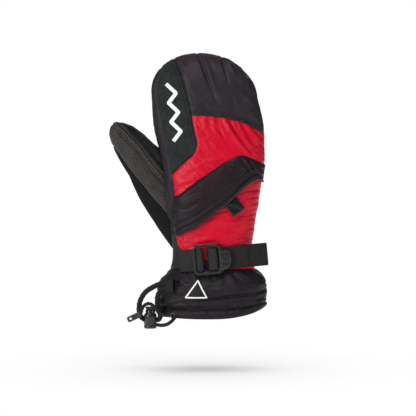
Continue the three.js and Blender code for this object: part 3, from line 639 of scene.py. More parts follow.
def sew(table, surface, body, thick, more=None, push=None):
    """Makes each panel of a table on a surface; more adds height, and push moves the points afterwards."""
    for name, faces, cloth, slot, node, settings in table:
        points, normals, small, reach, near = surface.panel(faces)
        height = relief(points, reach, near, **settings)
        if more:
            height += more(points)
        points = points + normals * height[:, None]
        if push:
            points = points + push(points)
        keep_tree(name, points, small)
        mesh_piece(name, points, small, cloth, body, slot, thick=thick, cover=[node])
    return [row[0] for row in table]


TREES = {}


def keep_tree(name, points, faces):
    TREES[name] = BVHTree.FromPolygons([tuple(p) for p in points], [list(f) for f in faces])


def touch(names, x, z, lift=0.0, side=-1):
    """Nearest surface to the viewer's side at x and z among the named pieces, lifted along its normal."""
    best = None
    for name in names:
        hit, normal, _, distance = TREES[name].ray_cast(Vector((x, side * 150, z)), Vector((0, -side, 0)))
        if hit is not None and (best is None or distance < best[2]):
            best = (np.array(hit), np.array(normal), distance)
    if best is None:
        return None
    normal = best[1] if best[1][1] * side > 0 else -best[1]
    return best[0] + normal * lift, normal


# ---- Swept and stitched pieces ----
def frames_along(path, up=None):
    path = np.array(path, float)
    tangents = unit(np.gradient(path, axis=0))
    if up is None:
        guide = np.array([0, 0, 1.0]) if abs(tangents[0][2]) < 0.9 else np.array([1.0, 0, 0])
        sides = []
        side = np.cross(tangents[0], guide)
        for t in tangents:
            side = unit(side - t * (side @ t))
            sides.append(side)
        sides = np.array(sides)
        ups = np.cross(sides, tangents)
    else:
        up = np.broadcast_to(np.array(up, float), path.shape)
        ups = unit(up - tangents * np.sum(up * tangents, 1)[:, None])
        sides = np.cross(tangents, ups)
    return path, sides, ups


def resample(path, step):
    path = np.array(path, float)
    run = run_along(path)
    at = np.linspace(0, run[-1], max(int(round(run[-1] / step)), 2) + 1)
    return sampled(at, run, path), at


def curve_through(points, per=12):
    """Smooth Catmull-Rom curve through the points, evenly spaced in its own parameter."""
    points = np.array(points, float)
    ends = np.concatenate([[2 * points[0] - points[1]], points, [2 * points[-1] - points[-2]]])
    out = []
    for i in range(1, len(ends) - 2):
        p0, p1, p2, p3 = ends[i - 1 : i + 3]
        for k in range(per):
            t = k / per
            out.append(0.5 * (2 * p1 + (p2 - p0) * t + (2 * p0 - 5 * p1 + 4 * p2 - p3) * t**2
                              + (3 * p1 - p0 - 3 * p2 + p3) * t**3))
    out.append(points[-1])
    return np.array(out)


def sweep(path, profile, up=None, relief_of=None):
    """Closed mesh of a profile [(side, up)] swept along a path; relief_of(s, angle) scales it."""
    path, sides, ups = frames_along(path, up)
    profile = np.array(profile, float)
    n = len(profile)
    run = run_along(path)
    angles = np.arctan2(profile[:, 1], profile[:, 0])
    rings = []
    for i, p in enumerate(path):
        ring = profile if relief_of is None else profile * relief_of(run[i], angles)[:, None]
        rings.append(p + sides[i] * ring[:, :1] + ups[i] * ring[:, 1:])
    faces = quads(len(path), n)
    faces += [tuple(range(n))[::-1], tuple(range((len(path) - 1) * n, len(path) * n))]
    return np.concatenate(rings), faces


def circle(radius, sides=10, squeeze=1.0):
    a = np.linspace(0, 2 * math.pi, sides, endpoint=False)
    return np.stack([radius * np.cos(a), radius * squeeze * np.sin(a)], 1)


def joined(parts):
    points, faces, base = [], [], 0
    for p, f in parts:
        points.append(np.array(p))
        faces += [tuple(i + base for i in face) for face in f]
        base += len(p)
    return np.concatenate(points), faces


def surface_line(names, line, lift, side=-1, step=0.6):
    """3-D path on the named surfaces over a line of [x, z]."""
    fine, _ = resample([[x, 0, z] for x, z in line], step)
    hits = [touch(names, x, z, lift, side) for x, _, z in fine]
    return [np.array(column) for column in zip(*(h for h in hits if h is not None))]


def stitches(names, line, length=2.3, gap=0.9, radius=0.26, lift=0.05, side=-1):
    """Threads of one stitch row over a line of [x, z], as one list of parts."""
    path, normals = surface_line(names, line, lift, side)
    run = run_along(path)
    parts = []
    start = 0.3
    while start + length < run[-1]:
        at = start + length * np.array([0, 0.2, 0.5, 0.8, 1])
        stitch, up = sampled(at, run, path), sampled(at, run, normals)
        stitch += up * (np.array([-0.25, 0.1, 0.16, 0.1, -0.25]) * radius * 4)[:, None]
        parts.append(sweep(stitch, circle(radius, 6), up))
        start += length + gap
    return parts


def line_up(rows, low, high, shift):
    """Points [x, z] of a table that gives x over z, from low to high."""
    at = np.linspace(low, high, int((high - low) / 2) + 2)
    return list(zip(along(rows, at) + shift, at))


def smooth_line(points, step=1.5):
    fine, _ = resample(curve_through([[x, 0, z] for x, z in points]), step)
    return [(p[0], p[2]) for p in fine]


# ---- Free cords: two runs of braided leash, and the hem's drawcord ----
def braid(pitch, strands, depth=0.085):
    def scale(s, angles):
        a = np.sin(strands * angles + 2 * math.pi * s / pitch)
        b = np.sin(strands * angles - 2 * math.pi * s / pitch)
        return 1 + depth * np.maximum(a, b) - depth * 0.5
    return scale


def cord_piece(name, route, radius, stands_for, squash_to=None, strands=4,
               pitch=5.2):
    path, run = resample(curve_through(route, 24), 0.45)
    points, faces = sweep(path, circle(radius, 24), relief_of=braid(pitch, strands))
    piece = mesh_piece(name, points, faces, CORD, "hand", "cord", cover=[stands_for])
    if squash_to is not None:
        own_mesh(piece)
    return piece


LEASH_OUTER = [
    [-49, -33.5, 41.1],
    [-52.9, -31.4, 41.1], [-58, -29, 40.4], [-66.8, -27, 36.6], [-76, -26, 30.4],
    [-81.8, -25, 21], [-83.4, -24.5, 11.5], [-82.7, -24.5, 6], [-80.8, -24.5, 2.2], [-78.6, -24.5, 0],
    [-76.2, -24.5, -1.1],
]
LEASH_INNER = [
    [-49, -33.5, 34.9],
    [-52.9, -31.4, 34.9], [-57, -29.6, 33.4], [-61.5, -28, 27.5], [-62.4, -27, 19],
    [-60.6, -25.5, 11], [-59.2, -24.8, 4.5], [-59.6, -24.5, 0.6], [-62, -24.5, -0.9], [-64.9, -24.5, -1.7],
]
DRAW_LOWER = [
    [-40.5, -36.4, 4.4], [-43, -37.4, 1.4], [-46, -37.6, -2], [-51.4, -36.5, -5.6], [-58, -33.6, -6.8],
    [-62.6, -30.9, -6.4], [-65.4, -29.2, -6.2],
]
DRAW_UPPER = [
    [-47.6, -36.6, 5.4], [-53, -36.4, 4.8], [-60, -36, 7], [-65.5, -35.6, 14.5], [-72, -34.6, 18],
    [-78, -33.6, 14.6], [-80.4, -33, 9], [-81.2, -32.8, 6.6],
]
cord_piece("leash_cord_outer_braid", LEASH_OUTER, 2.9, "leash_cord_outer", squash_to=41)
cord_piece("leash_cord_inner_braid", LEASH_INNER, 2.9, "leash_cord_inner", squash_to=35)
cord_piece("drawcord_lower_strand", DRAW_LOWER, 2.0, "drawcord_lower", squash_to=1, strands=3, pitch=3.6)


# ---- Hand panels ----
N_BACK, N_PALM, ROW = 150, 104, 1.15
grid = hand_grid(CUFF_TOP, ROW, N_BACK, N_PALM)
n_rows, n_columns = grid.shape[:2]
base = Surface(grid)
all_faces = quads(n_rows, n_columns)
top_ring = tuple(range((n_rows - 1) * n_columns, n_rows * n_columns))
back_faces = [f for k, f in enumerate(all_faces) if k % n_columns < N_BACK]
palm_faces = [f for k, f in enumerate(all_faces) if k % n_columns >= N_BACK] + [top_ring]


def zip_slot(points):
    u, v = zip_coordinates(points)
    return np.maximum(np.abs(u) - ZIP["half"], np.abs(v) - ZIP["slot"] / 2)


def zip_side(points):
    return zip_coordinates(points)[1]


PATCH_CORNER = 9


def in_patch(points):
    """Above 0 on the suede patch: left of its edge and above its foot, with a round corner between them."""
    inward = (along(PATCH_EDGE, points[:, 2]) - points[:, 0]) * 0.99
    upward = (points[:, 2] - along(PATCH_FOOT, points[:, 0])) * 0.76
    short = np.hypot(np.maximum(PATCH_CORNER - inward, 0), np.maximum(PATCH_CORNER - upward, 0))
    return np.where(np.minimum(inward, upward) > PATCH_CORNER, PATCH_CORNER, PATCH_CORNER - short)


RIGHT_OF_GUSSET, ON_PATCH, ABOVE_TIP_SEAM, OFF_ZIP, ABOVE_ZIP = range(5)
groups = base.cut(back_faces, lambda p: p[:, 0] - along(LEFT_SEAM, p[:, 2]), in_patch,
                  height_field(TIP_SEAM), zip_slot, zip_side)
gusset, patch, tip, upper, lower = [], [], [], [], []
for signs, members in groups.items():
    if not signs[RIGHT_OF_GUSSET]:
        gusset += members
    elif signs[ON_PATCH]:
        patch += members
    elif signs[ABOVE_TIP_SEAM]:
        tip += members
    elif signs[OFF_ZIP]:
        (upper if signs[ABOVE_ZIP] else lower).extend(members)
groups = base.cut(palm_faces, height_field(PALM_SEAM))
palm_upper, palm_heel = groups[(True,)], groups[(False,)]

RED_FOLDS = [
    (2.3, 2.6, 13, 230, 20, 216, 29, 203, 41, 188),
    (1.4, -3.0, 19, 229, 25, 216, 32, 204, 44, 189),
    (1.8, 1.5, 28, 228, 32, 217, 37, 206, 46, 194),
    (1.4, -1.2, 33, 226, 38, 215, 43, 206, 50, 197),
    (2.4, 1.5, 37, 224, 45, 214, 52, 206, 57, 200),
    (1.4, -1.5, 45, 221, 51, 214, 58, 206),
    (1.8, -1.1, 5, 230, 7, 220, 13, 207, 20, 196),
    (1.8, 0.9, 1, 231, 2, 222, 5, 210),
    (1.5, -0.8, -5, 232, -4, 224, -1, 214),
    (1.8, 0.7, -10, 232, -9, 225, -8, 217),
    (1.3, -1.0, -44, 147, -34, 151, -22, 155, -10, 161),
    (1.8, 0.8, -43, 152, -32, 156, -20, 160),
    (1.4, -0.7, -40, 160, -28, 163, -16, 170),
    (2.2, 0.8, -30, 170, -20, 172, -8, 178, 4, 180),
    (1.8, -0.8, -14, 196, -6, 188, 4, 183, 16, 184),
    (1.5, -0.9, 40, 190, 48, 196, 56, 200),
]
TIP_FOLDS = [
    (1.7, -2.6, -18, 306, -13, 296, -8, 282, -1, 264, 4, 250),
    (2.8, 1.7, -13, 305, -7, 293, -2, 279, 5, 260),
    (1.5, -2.2, 11, 302, 13, 292, 16, 281, 19, 270),
    (2.4, 1.4, 17, 300, 21, 290, 26, 279),
    (1.9, -1.4, -34, 300, -32, 296, -30, 290),
    (2.2, -1.5, 36, 291, 41, 281, 46, 266),
    (3.0, 1.1, 30, 264, 38, 254, 50, 245),
    (2.6, -0.8, -20, 262, -6, 254, 10, 246),
    (3.4, 0.8, -40, 288, -28, 276, -16, 268),
    (2.4, -0.8, 22, 262, 24, 248, 24, 236),
]
LOWER_FOLDS = [
    (1.5, -1.1, -38, 97, -20, 94, -2, 96),
    (1.6, 0.9, -38, 90, -22, 88, -4, 91, 10, 90),
    (1.4, -1.0, -12, 104, 10, 102, 34, 107),
    (1.6, 0.8, 6, 110, 26, 110, 46, 113),
    (1.3, -1.1, 26, 117, 38, 118, 52, 121),
    (1.5, 0.9, 30, 124, 40, 127, 54, 131),
    (1.3, -1.2, 30, 132, 40, 137, 56, 141),
    (1.4, 1.0, 20, 96, 34, 98, 47, 102),
    (1.6, -1.2, 34, 146, 46, 147, 58, 148),
    (1.4, -1.0, 14, 88, 30, 90, 46, 93),
    (1.6, -0.9, -36, 84, -34, 92, -35, 100),
]
GUSSET_FOLDS = [
    (1.5, -2.6, -46, 70, -47.5, 90, -49, 112, -50, 134, -53, 156),
    (1.6, 1.4, -42.5, 80, -44.5, 98, -46.5, 118, -47, 140),
    (1.6, 1.3, -50, 92, -52, 112, -53.5, 138),
    (1.2, -1.2, -44, 104, -47, 118, -49, 126),
    (2.4, -1.2, -56, 160, -60, 180, -64, 205),
]
nylon_wrinkles = [(1.0, -52, 46, 15, False), (0.5, -46, 24, 6, True), (0.25, 20, 9, 4, False)]
lower_wrinkles = [(0.7, 4, 40, 13, False), (0.5, 7, 22, 3.8, True), (0.2, 90, 8, 4, False)]
tip_wrinkles = [(1.0, -62, 44, 16, False), (0.35, -66, 26, 7, True), (0.2, 10, 10, 5, False)]

PANELS = [
    ("fingertip_shell", tip, BLACK, "black_nylon", "fingertip_panel",
     dict(puff=1.2, pucker=0.7, pucker_size=5, pucker_reach=6, wrinkles=tip_wrinkles, folds=TIP_FOLDS)),
    ("index_patch_suede", patch, SUEDE, "suede", "index_patch",
     dict(puff=0.35, puff_width=2.5, pucker=0.1, wrinkles=[(0.25, -70, 30, 12, False)], rim=0.35,
          rim_at=1.6)),
    ("upper_back_shell", upper, RED, "red_nylon", "upper_back_panel",
     dict(puff=1.2, pucker=0.9, pucker_size=4.4, pucker_reach=7, wrinkles=nylon_wrinkles, folds=RED_FOLDS)),
    ("lower_back_shell", lower, RED, "red_nylon", "lower_back_panel",
     dict(puff=1.0, pucker=0.9, pucker_size=4, pucker_reach=7, wrinkles=lower_wrinkles, folds=LOWER_FOLDS)),
    ("index_gusset_shell", gusset, GUSSET_CLOTH, "black_nylon", "index_gusset",
     dict(puff=0.8, pucker=0.4, pucker_size=4, wrinkles=[(0.6, 88, 40, 8, False), (0.3, 82, 20, 5, True)],
          folds=GUSSET_FOLDS)),
    ("palm_shell", palm_upper, GRIP, "grip", "palm_panel",
     dict(puff=0.9, pucker=0.25, pucker_size=4, wrinkles=[(0.7, 10, 40, 12, False), (0.3, 15, 18, 6, True)])),
    ("palm_heel_shell", palm_heel, SOFTSHELL, "softshell", "palm_heel_panel",
     dict(puff=0.7, pucker=0.3, pucker_size=4, wrinkles=[(0.5, 5, 30, 10, False)])),
]
SHELLS = sew(PANELS, base, "hand", 1.3)
BACKS, PALMS = SHELLS[:5], SHELLS[5:]


# ---- Thumb ----
TIP_FORWARD, TIP_SIDEWAYS = np.array([-0.58, 0, 0.81]), np.array([0.81, 0, 0.58])
TIP_FROM, TIP_APEX, PLAIN_APEX = 188, 248.4, 242.0
PLAIN_TIP = [
    [188, 40.4, 23.8], [205, 40.2, 21.3], [214, 39.6, 19.9], [226, 38.5, 18], [230, 38.5, 17.4],
    [234, 38.5, 16],
    [238, 38.4, 13.4], [240, 38.5, 11], [242.2, 39, 5.5],
]
BLUNT_TIP = [
    [188, 41.2, 23.6], [205, 39.6, 21.0], [218, 39.1, 18.9], [225, 38.6, 17.3], [233, 38.4, 14.4],
    [240, 37.8, 10.4],
    [246, 37.7, 5.4], [248.4, 39.0, 1.6],
]


def blunt_tip(points):
    """Turns the thumb's round cap into a blunt corner that leans away from the hand."""
    forward, sideways = points @ TIP_FORWARD, points @ TIP_SIDEWAYS
    share = np.maximum(forward - TIP_FROM, 0) / (PLAIN_APEX - TIP_FROM)
    ahead = np.where(forward > TIP_FROM, TIP_FROM + share * (TIP_APEX - TIP_FROM), forward)
    shift = along(BLUNT_TIP, ahead, 1) - along(PLAIN_TIP, forward, 1)
    squeeze = along(BLUNT_TIP, ahead, 2) / along(PLAIN_TIP, forward, 2)
    offset = sideways - along(PLAIN_TIP, forward, 1)
    faded = smooth_step(forward, TIP_FROM - 22, TIP_FROM + 4)
    change = (shift + offset * (squeeze - 1)) * faded
    return points + (ahead - forward)[..., None] * TIP_FORWARD + change[..., None] * TIP_SIDEWAYS


def thumb_grid(rows, columns, inset=0.0, low=0.0):
    table = np.array([[i, *row] for i, row in enumerate(THUMB)], float)
    at = np.linspace(low, len(THUMB) - 1, rows)
    centre = np.stack([along(table, at, 1), along(table, at, 3), along(table, at, 2)], 1)
    width, depth = along(table, at, 4) - inset, along(table, at, 5) - inset
    tangent = unit(np.gradient(centre, axis=0))
    rings = []
    angle = np.linspace(0, 2 * math.pi, columns, endpoint=False)

    def ring(c, t, w, d):
        across = unit(np.cross([0, 1, 0], t))
        return c + across * (w * np.cos(angle))[:, None] + np.array([0, 1, 0]) * (d * np.sin(angle))[:, None]

    for i in range(rows):
        rings.append(ring(centre[i], tangent[i], width[i], depth[i]))
    for i in range(1, 25):
        turn = math.pi / 2 * i / 24 * 0.985
        c = centre[-1] + tangent[-1] * (THUMB_CAP - inset) * math.sin(turn)
        share = math.cos(turn) ** 0.72
        rings.append(ring(c, tangent[-1], width[-1] * share, depth[-1] * share))
    return blunt_tip(np.array(rings))


def hand_depth(points):
    """How far outside the hand's shell each point is, in half widths; below 0 inside."""
    left, right, back, palm = sizes_at(np.clip(points[:, 2], -6, DOME_START))
    c = (points[:, 0] - (left + right) / 2) / ((right - left) / 2)
    y = points[:, 1] - curl(points[:, 2])
    s = np.where(y < 0, -y / back, y / palm)
    p = np.where(y < 0, BACK_POWER, PALM_POWER)
    return (np.abs(c) ** p + np.abs(s) ** p) ** (1 / p) - 1


grid = thumb_grid(250, 150)
n_rows, n_columns = grid.shape[:2]
thumb = Surface(grid, -1)
outward = np.sum((thumb.points - np.repeat(grid.mean(axis=1), n_columns, 0)) * thumb.normals, 1)
if np.mean(outward) < 0:
    thumb.normals *= -1
faces = quads(n_rows, n_columns) + [tuple(range((n_rows - 1) * n_columns, n_rows * n_columns))[::-1]]
groups = thumb.cut(faces, lambda p: (hand_depth(p) + 0.09) * 50, height_field(THUMB_SEAM),
                   height_field(PALM_SEAM))
thumb_top = groups[(True, True, True)] + groups[(True, True, False)]
thumb_middle, thumb_side = groups[(True, False, True)], groups[(True, False, False)]


def seam_valley(points):
    """The thumb's middle seam stands up as a ridge between two shallow valleys."""
    gap = np.abs(points[:, 2] - along(THUMB_SEAM, points[:, 0])) * 0.71
    end = 1 - smooth_step(points[:, 2] - points[:, 0], 325, 338)
    return (0.8 * bell(gap, 1.0) - 1.5 * bell(gap - 3.4, 1.7)) * end


THUMB_PANELS = [
    ("thumb_upper_shell", thumb_top, GRIP_RIBS, "grip", "thumb_upper_panel",
     dict(puff=1.2, puff_width=4, pucker=0.3, pucker_size=3.2, pucker_reach=4, dip=0.2,
          wrinkles=[(0.5, 50, 26, 9, False)], ribs=0.12)),
    ("thumb_middle_shell", thumb_middle, GRIP, "grip", "thumb_middle_panel",
     dict(puff=1.2, puff_width=5, pucker=0.3, pucker_size=3.2, pucker_reach=4, dip=0.2,
          wrinkles=[(0.8, -45, 30, 10, False), (0.25, -50, 14, 5, True)])),
    ("thumb_side_shell", thumb_side, SOFTSHELL, "softshell", "thumb_side_panel",
     dict(puff=0.8, pucker=0.3, pucker_size=4, dip=0.3, wrinkles=[(0.5, -40, 30, 9, False)])),
]
THUMBS = sew(THUMB_PANELS, thumb, None, 1.3, more=seam_valley)


# ---- Gauntlet cuff ----
def cuff_grid(steps, n_back, n_palm, inset=0.0, low=0.0, high=CUFF_TOP):
    """Rings of the cuff from its slanted foot, raised by low, up to a level top."""
    shape = ring_at(0, -1, 1, 1, 1, n_back, n_palm)
    rows = []
    for i in range(steps + 1):
        foot = np.zeros(n_back + n_palm)
        for _ in range(3):
            heights = foot + (high - foot) * i / steps
            left, right, back, palm = sizes_at(heights, inset)
            x = (left + right) / 2 + (right - left) / 2 * shape[:, 0]
            foot = along(HEM_FOOT, x) + low
        rows.append(np.stack([x, np.where(shape[:, 1] < 0, back, palm) * shape[:, 1], heights], 1))
    return np.array(rows)


grid = cuff_grid(62, 150, 120)
n_rows, n_columns = grid.shape[:2]
cuff = Surface(grid)
faces = quads(n_rows, n_columns)
groups = cuff.cut(faces, height_field(HEM_SEAM))
hem = groups[(False,)]
cuff_back = [f for f in groups[(True,)] if cuff.points[list(f), 1].mean() < 0]
cuff_palm = [f for f in groups[(True,)] if cuff.points[list(f), 1].mean() > 0]
CUFF_FOLDS = [
    (2.0, -3.2, -44, 17, -18, 21, 12, 24.5, 40, 28, 66, 35),
    (3.6, 1.6, -34, 25, 0, 30, 30, 34, 62, 42),
    (1.4, -1.2, -10, 26, 14, 31, 34, 34),
    (1.3, -1.3, -30, 57, -27, 50, -26, 44),
    (1.3, -1.4, -17, 57, -14, 48, -12, 42),
    (1.3, -1.4, -4, 57, -1, 48, 2, 42),
    (1.3, -1.5, 9, 57, 12, 48, 16, 43),
    (1.8, 1.3, 15, 57, 19, 49, 26, 41),
    (1.2, -1.5, 22, 57, 26, 49, 33, 43),
    (1.4, -1.7, 35, 58, 39, 52, 48, 45),
    (2.2, 1.6, 43, 58, 50, 50, 59, 42),
    (2.0, 1.0, -22, 55, -20, 47, -20, 40),
    (1.6, -1.2, -46, 42, -36, 40, -28, 36),
    (1.8, 1.0, -50, 34, -38, 31, -24, 30),
    (1.3, -1.2, 40, 26, 52, 29, 64, 33),
]


def cuff_waist(points):
    """Draws in the gathered shoulder on the thumb side."""
    shoulder = bell(points[:, 2] - 51, 6) * smooth_step(-points[:, 0], 20, 50)
    return shoulder[:, None] * np.array([2.56, 0.64, 0])


CUFF_PANELS = [
    ("cuff_back_shell", cuff_back, CUFF_CLOTH, "black_nylon", "cuff_back_panel",
     dict(puff=1.2, pucker=1.15, pucker_size=3.4, pucker_reach=4.5, folds=CUFF_FOLDS,
          wrinkles=[(1.1, 8, 34, 9, False), (0.6, 14, 15, 5, True)])),
    ("cuff_palm_shell", cuff_palm, CUFF_CLOTH, "black_nylon", "cuff_palm_panel",
     dict(puff=1.2, pucker=1.0, pucker_size=3.4, pucker_reach=4.5,
          wrinkles=[(0.8, 4, 34, 9, False), (0.45, 10, 15, 5, True)],
          folds=[(2.6, -2.2, -62, 20, -30, 22, 30, 28, 62, 33)])),
    ("hem_channel_shell", hem, CUFF_CLOTH, "black_nylon", "hem_channel",
     dict(puff=1.5, puff_width=3, pucker=1.3, pucker_size=3.0, pucker_reach=4,
          wrinkles=[(0.3, 6, 14, 4, True)])),
]
CUFFS = sew(CUFF_PANELS, cuff, "hand", 1.6, push=cuff_waist)


# ---- Pocket flap with its sewn channel, gathered right end and bound edge ----
FOOT_RAISE = [[-60, 0.8], [-20, 1.2], [6, 3.8], [30, 5.2], [46, 5.2], [53, 3], [58, 1]]
FLAP_FOLDS = [
    (1.3, -1.7, 28, 187, 34, 178, 40, 169, 43, 163),
    (1.3, 1.6, 32, 188, 38, 178, 43, 170),
    (1.2, -1.5, 37, 188, 42, 179, 46, 170),
    (1.3, 1.4, 42, 187, 46, 179, 49, 171),
    (1.2, -1.4, 47, 184, 50, 177, 52, 170),
    (1.3, 1.0, 53, 181, 54, 174),
    (2.6, -0.8, 10, 176, 20, 167, 28, 156),
    (2.2, 1.0, -36, 132, -22, 134, -10, 138),
    (1.6, -1.0, -40, 124, -24, 127, -14, 134),
    (2.0, -0.8, -30, 118, -12, 122, -2, 130),
]


def flap_height(points, from_top, from_foot, from_left, from_right):
    rise = (1 - np.exp(-from_top / 4.5)) * (1 - np.exp(-from_left / 3.5)) * smooth_step(from_right, -3, 20)
    height = 0.5 + 4.9 * rise
    flat = smooth_step(from_right, 1, 9)
    height += 0.95 * smooth_step(from_foot, 3.8, 5.4) * (1 - smooth_step(from_foot, 8.6, 10.4)) * flat
    height -= (0.8 * bell(from_foot - 3.7, 0.7) + 0.8 * bell(from_foot - 10.1, 0.7)) * flat
    gather = np.exp(-from_right / 15)
    ridges = np.sin((points[:, 2] - 0.35 * points[:, 0]) / 1.05 + 2.2 * noise(points, 14))
    low = 1 - smooth_step(from_foot, 14, 22)
    height += 0.45 * gather * ridges * low * smooth_step(from_right, 3, 10) * smooth_step(from_top, 0.5, 4)
    for row in FLAP_FOLDS:
        height += fold(points, row) * smooth_step(from_top, 1, 9) * flat
    height += 1.2 * stretched(points, -50, 26, 8) * gather ** 0.5 * flat
    height += 0.7 * stretched(points, 36, 44, 9) * smooth_step(from_top, 1, 6)
    height += 0.35 * creased(stretched(points, 30, 20, 5)) * smooth_step(from_foot, 9,
    14) * smooth_step(from_top, 1, 6)
    height += 0.8 * np.exp(-from_foot / 4) * bell(points[:, 0] - 48, 6)
    return height + 0.5 * np.exp(-from_top / 3) * noise(points, 3.6)


def flap_points(s, t):
    """Points of the flap: s runs from its left seam to its right end, t from its top to its foot, 0 to 1."""
    z = np.full(s.shape, 120.0)
    for _ in range(6):
        left = along(LEFT_SEAM, z)
        x = left + (sizes_at(z)[1] - 0.2 - left) * np.sin(s * math.pi / 2) ** 0.85
        top, foot = along(FLAP_TOP, x), along(FLAP_FOOT, x) + along(FOOT_RAISE, x)
        z = top + (foot - top) * t
    flat = np.stack([x, np.zeros_like(x), z], -1)
    shell = back_point(x, z, 0.0)[0]
    run = run_along(shell[-1])
    distances = t * (top - foot) * 0.8, (1 - t) * (top - foot) * 0.8, x - left, run[-1] + 0 * s - run
    height = flap_height(flat.reshape(-1, 3), *(distance.ravel() for distance in distances))
    clearance = 1.3 * (1 - smooth_step(run[-1] - run, 2, 8))
    return back_point(x, z, height.reshape(x.shape) + clearance)[0]


s, t = np.meshgrid(np.linspace(0, 1, 150), np.linspace(0, 1, 56))
flap = flap_points(s, t)
wrapped = [flap[:, -1:] + np.array([0.1 * k, 1.6 * k, 0]) for k in (1, 2, 3)]
flap = np.concatenate([flap, *wrapped], axis=1)
flap_faces = [f[::-1] for f in quads(*flap.shape[:2], closed=False)]
points = flap.reshape(-1, 3)
keep_tree("pocket_flap_shell", points, flap_faces)
piece = mesh_piece("pocket_flap_shell", points, flap_faces, FLAP_CLOTH, "hand", "black_nylon", 1.5,
                   ["pocket_flap"])
edge, _ = resample(flap[-1, :-4], 0.8)
points, faces = sweep(edge + np.array([0, 0.6, -0.5]), circle(1.25, 12, 0.95), (0, -1, 0))
mesh_piece("flap_binding_tape", points, faces, BINDING, "hand", "piping", cover=["flap_binding"])


# ---- Piping along the fingertip seam ----
def tubes_along(name, line, offsets, radius, cloth, slot, lift, cover=()):
    parts = []
    for shift in offsets:
        path, normals = surface_line(BACKS, [(x, z + shift) for x, z in line], lift)
        padded = np.pad(path, ((3, 3), (0, 0)), mode="edge")
        path = np.stack([np.convolve(padded[:, k], np.ones(7) / 7, "valid") for k in range(3)], 1)
        parts.append(sweep(path, circle(radius, 10), normals))
    mesh_piece(name, *joined(parts), cloth, "hand", slot, cover=cover)


tip_line = smooth_line([(x, along(TIP_SEAM, x)) for x in np.linspace(-23.5, 57.4, 30)])
tubes_along("fingertip_piping_cords", tip_line, (-1.3, 1.3), 1.15, BINDING, "piping", 0.35,
            ["fingertip_piping"])
tubes_along("fingertip_piping_thread", tip_line, (0,), 0.34, GREY_THREAD, "thread", 0.95)


# ---- Stitch rows ----
def stitch_piece(name, rows, names, cloth=THREAD, body="hand", **settings):
    parts = [part for row in rows for part in stitches(names, row, **settings)]
    mesh_piece(name, *joined(parts), cloth, body, "thread")


def row_on(rows, rise, low, high, count):
    """Points [x, z] of a stitch row that follows a table at a distance."""
    return [(x, along(rows, x) + rise) for x in np.linspace(low, high, count)]


def flap_line(rise, low, high):
    return [(x, z + along(FOOT_RAISE, x)) for x, z in row_on(FLAP_FOOT, rise, low, high, 60)]


patch_rows = [line_up(PATCH_EDGE, 204, 288, -2.0), line_up(PATCH_EDGE, 204, 286, -5.6),
              row_on(PATCH_FOOT, 2, -46, -20, 14)]
stitch_piece("patch_stitches", patch_rows, BACKS, radius=0.36)
stitch_piece("fingertip_stitches", [[(x, z + 4.6) for x, z in tip_line]], BACKS)
stitch_piece("flap_stitches", [flap_line(4.8, -42, 56), flap_line(12.4, -41, 54)], ["pocket_flap_shell"],
             radius=0.36)
stitch_piece("gusset_stitches", [line_up(LEFT_SEAM, 92, 160, -1.8)], BACKS)
stitch_piece("cuff_top_stitches", [[(x, 54.6) for x in np.linspace(-46, 48, 50)]], CUFFS)
stitch_piece("hem_stitches", [row_on(HEM_SEAM, rise, -56, 56, 70) for rise in (1.6, -1.6)], CUFFS)
stitch_piece("thumb_seam_stitches", [row_on(THUMB_SEAM, 0.7, -112, -58, 40)], THUMBS, GREY_THREAD, None,
             length=1.7,
             gap=1.3, radius=0.38)
stitch_piece("thumb_side_stitches", [row_on(PALM_SEAM, 2.0, -108, -52, 40)], THUMBS, GREY_THREAD, None,
             length=1.5,
             gap=1.5, radius=0.32)
stitch_piece("palm_seam_stitches", [row_on(PALM_SEAM, 2.2, -36, 40, 50)], PALMS, side=1)


# ---- Marks sewn on: a zigzag and a triangle outline ----
def raised_band(line, half, names, height, closed=False, across=7):
    """A padded ribbon of embroidery over a line of [x, z]."""
    line = [*line, line[0]] if closed else line
    fine, _ = resample([(x, 0, z) for x, z in line], 0.6)
    if closed:
        fine = fine[:-1]
        step = np.roll(fine, -2, axis=0) - np.roll(fine, 2, axis=0)
    else:
        step = np.gradient(fine, axis=0)
    step = unit(step)
    sideways = np.stack([-step[:, 2], np.zeros(len(step)), step[:, 0]], 1)
    shares = np.linspace(-1, 1, across)
    top, bottom = [], []
    for p, q in zip(fine, sideways):
        for share in shares:
            x, z = p[0] + q[0] * half * share, p[2] + q[2] * half * share
            hit = touch(names, x, z)
            crown = height * (1 - share**4 * 0.75)
            top.append(hit[0] + hit[1] * crown)
            bottom.append(hit[0] - hit[1] * 0.35)
    return slab(top, bottom, across, looped=closed)


MARK = {"x": -39, "foot": 203, "step": 11, "reach": 7, "half": 2.2, "lean": 0.13}
zigzag = []
for i in range(7):
    z = MARK["foot"] + i * MARK["step"]
    turn = MARK["reach"] if i % 2 else -MARK["reach"]
    zigzag.append((MARK["x"] - (z - MARK["foot"]) * MARK["lean"] + turn / 1.4, z))
points, faces = raised_band(zigzag, MARK["half"], ["index_patch_suede"], 0.6)
mesh_piece("patch_mark_print", points, faces, WHITE, "hand", "thread", cover=["patch_mark"])
peak = [(-30, 24.8), (-18, 24.8), (-6, 24.8), (-11.2, 34.4), (-16, 44), (-23, 34.4)]
points, faces = raised_band(peak, 0.85, CUFFS, 0.55, closed=True)
mesh_piece("cuff_emblem_print", points, faces, WHITE, "hand", "thread", cover=["cuff_emblem"])


# ---- Pocket zip ----
ZIP_RADIUS, ZIP_CENTRE = 197, 165.4
ZIP_COS, ZIP_SIN = math.cos(math.radians(ZIP["slope"])), math.sin(math.radians(ZIP["slope"]))


def zip_place(u, v, height):
    turn = u / ZIP_RADIUS
    x, y = (ZIP_RADIUS + height) * math.sin(turn), -(ZIP_RADIUS + height) * math.cos(turn)
    return (ZIP["x"] + x * ZIP_COS - v * ZIP_SIN, ZIP_CENTRE + y, ZIP["z"] + x * ZIP_SIN + v * ZIP_COS)


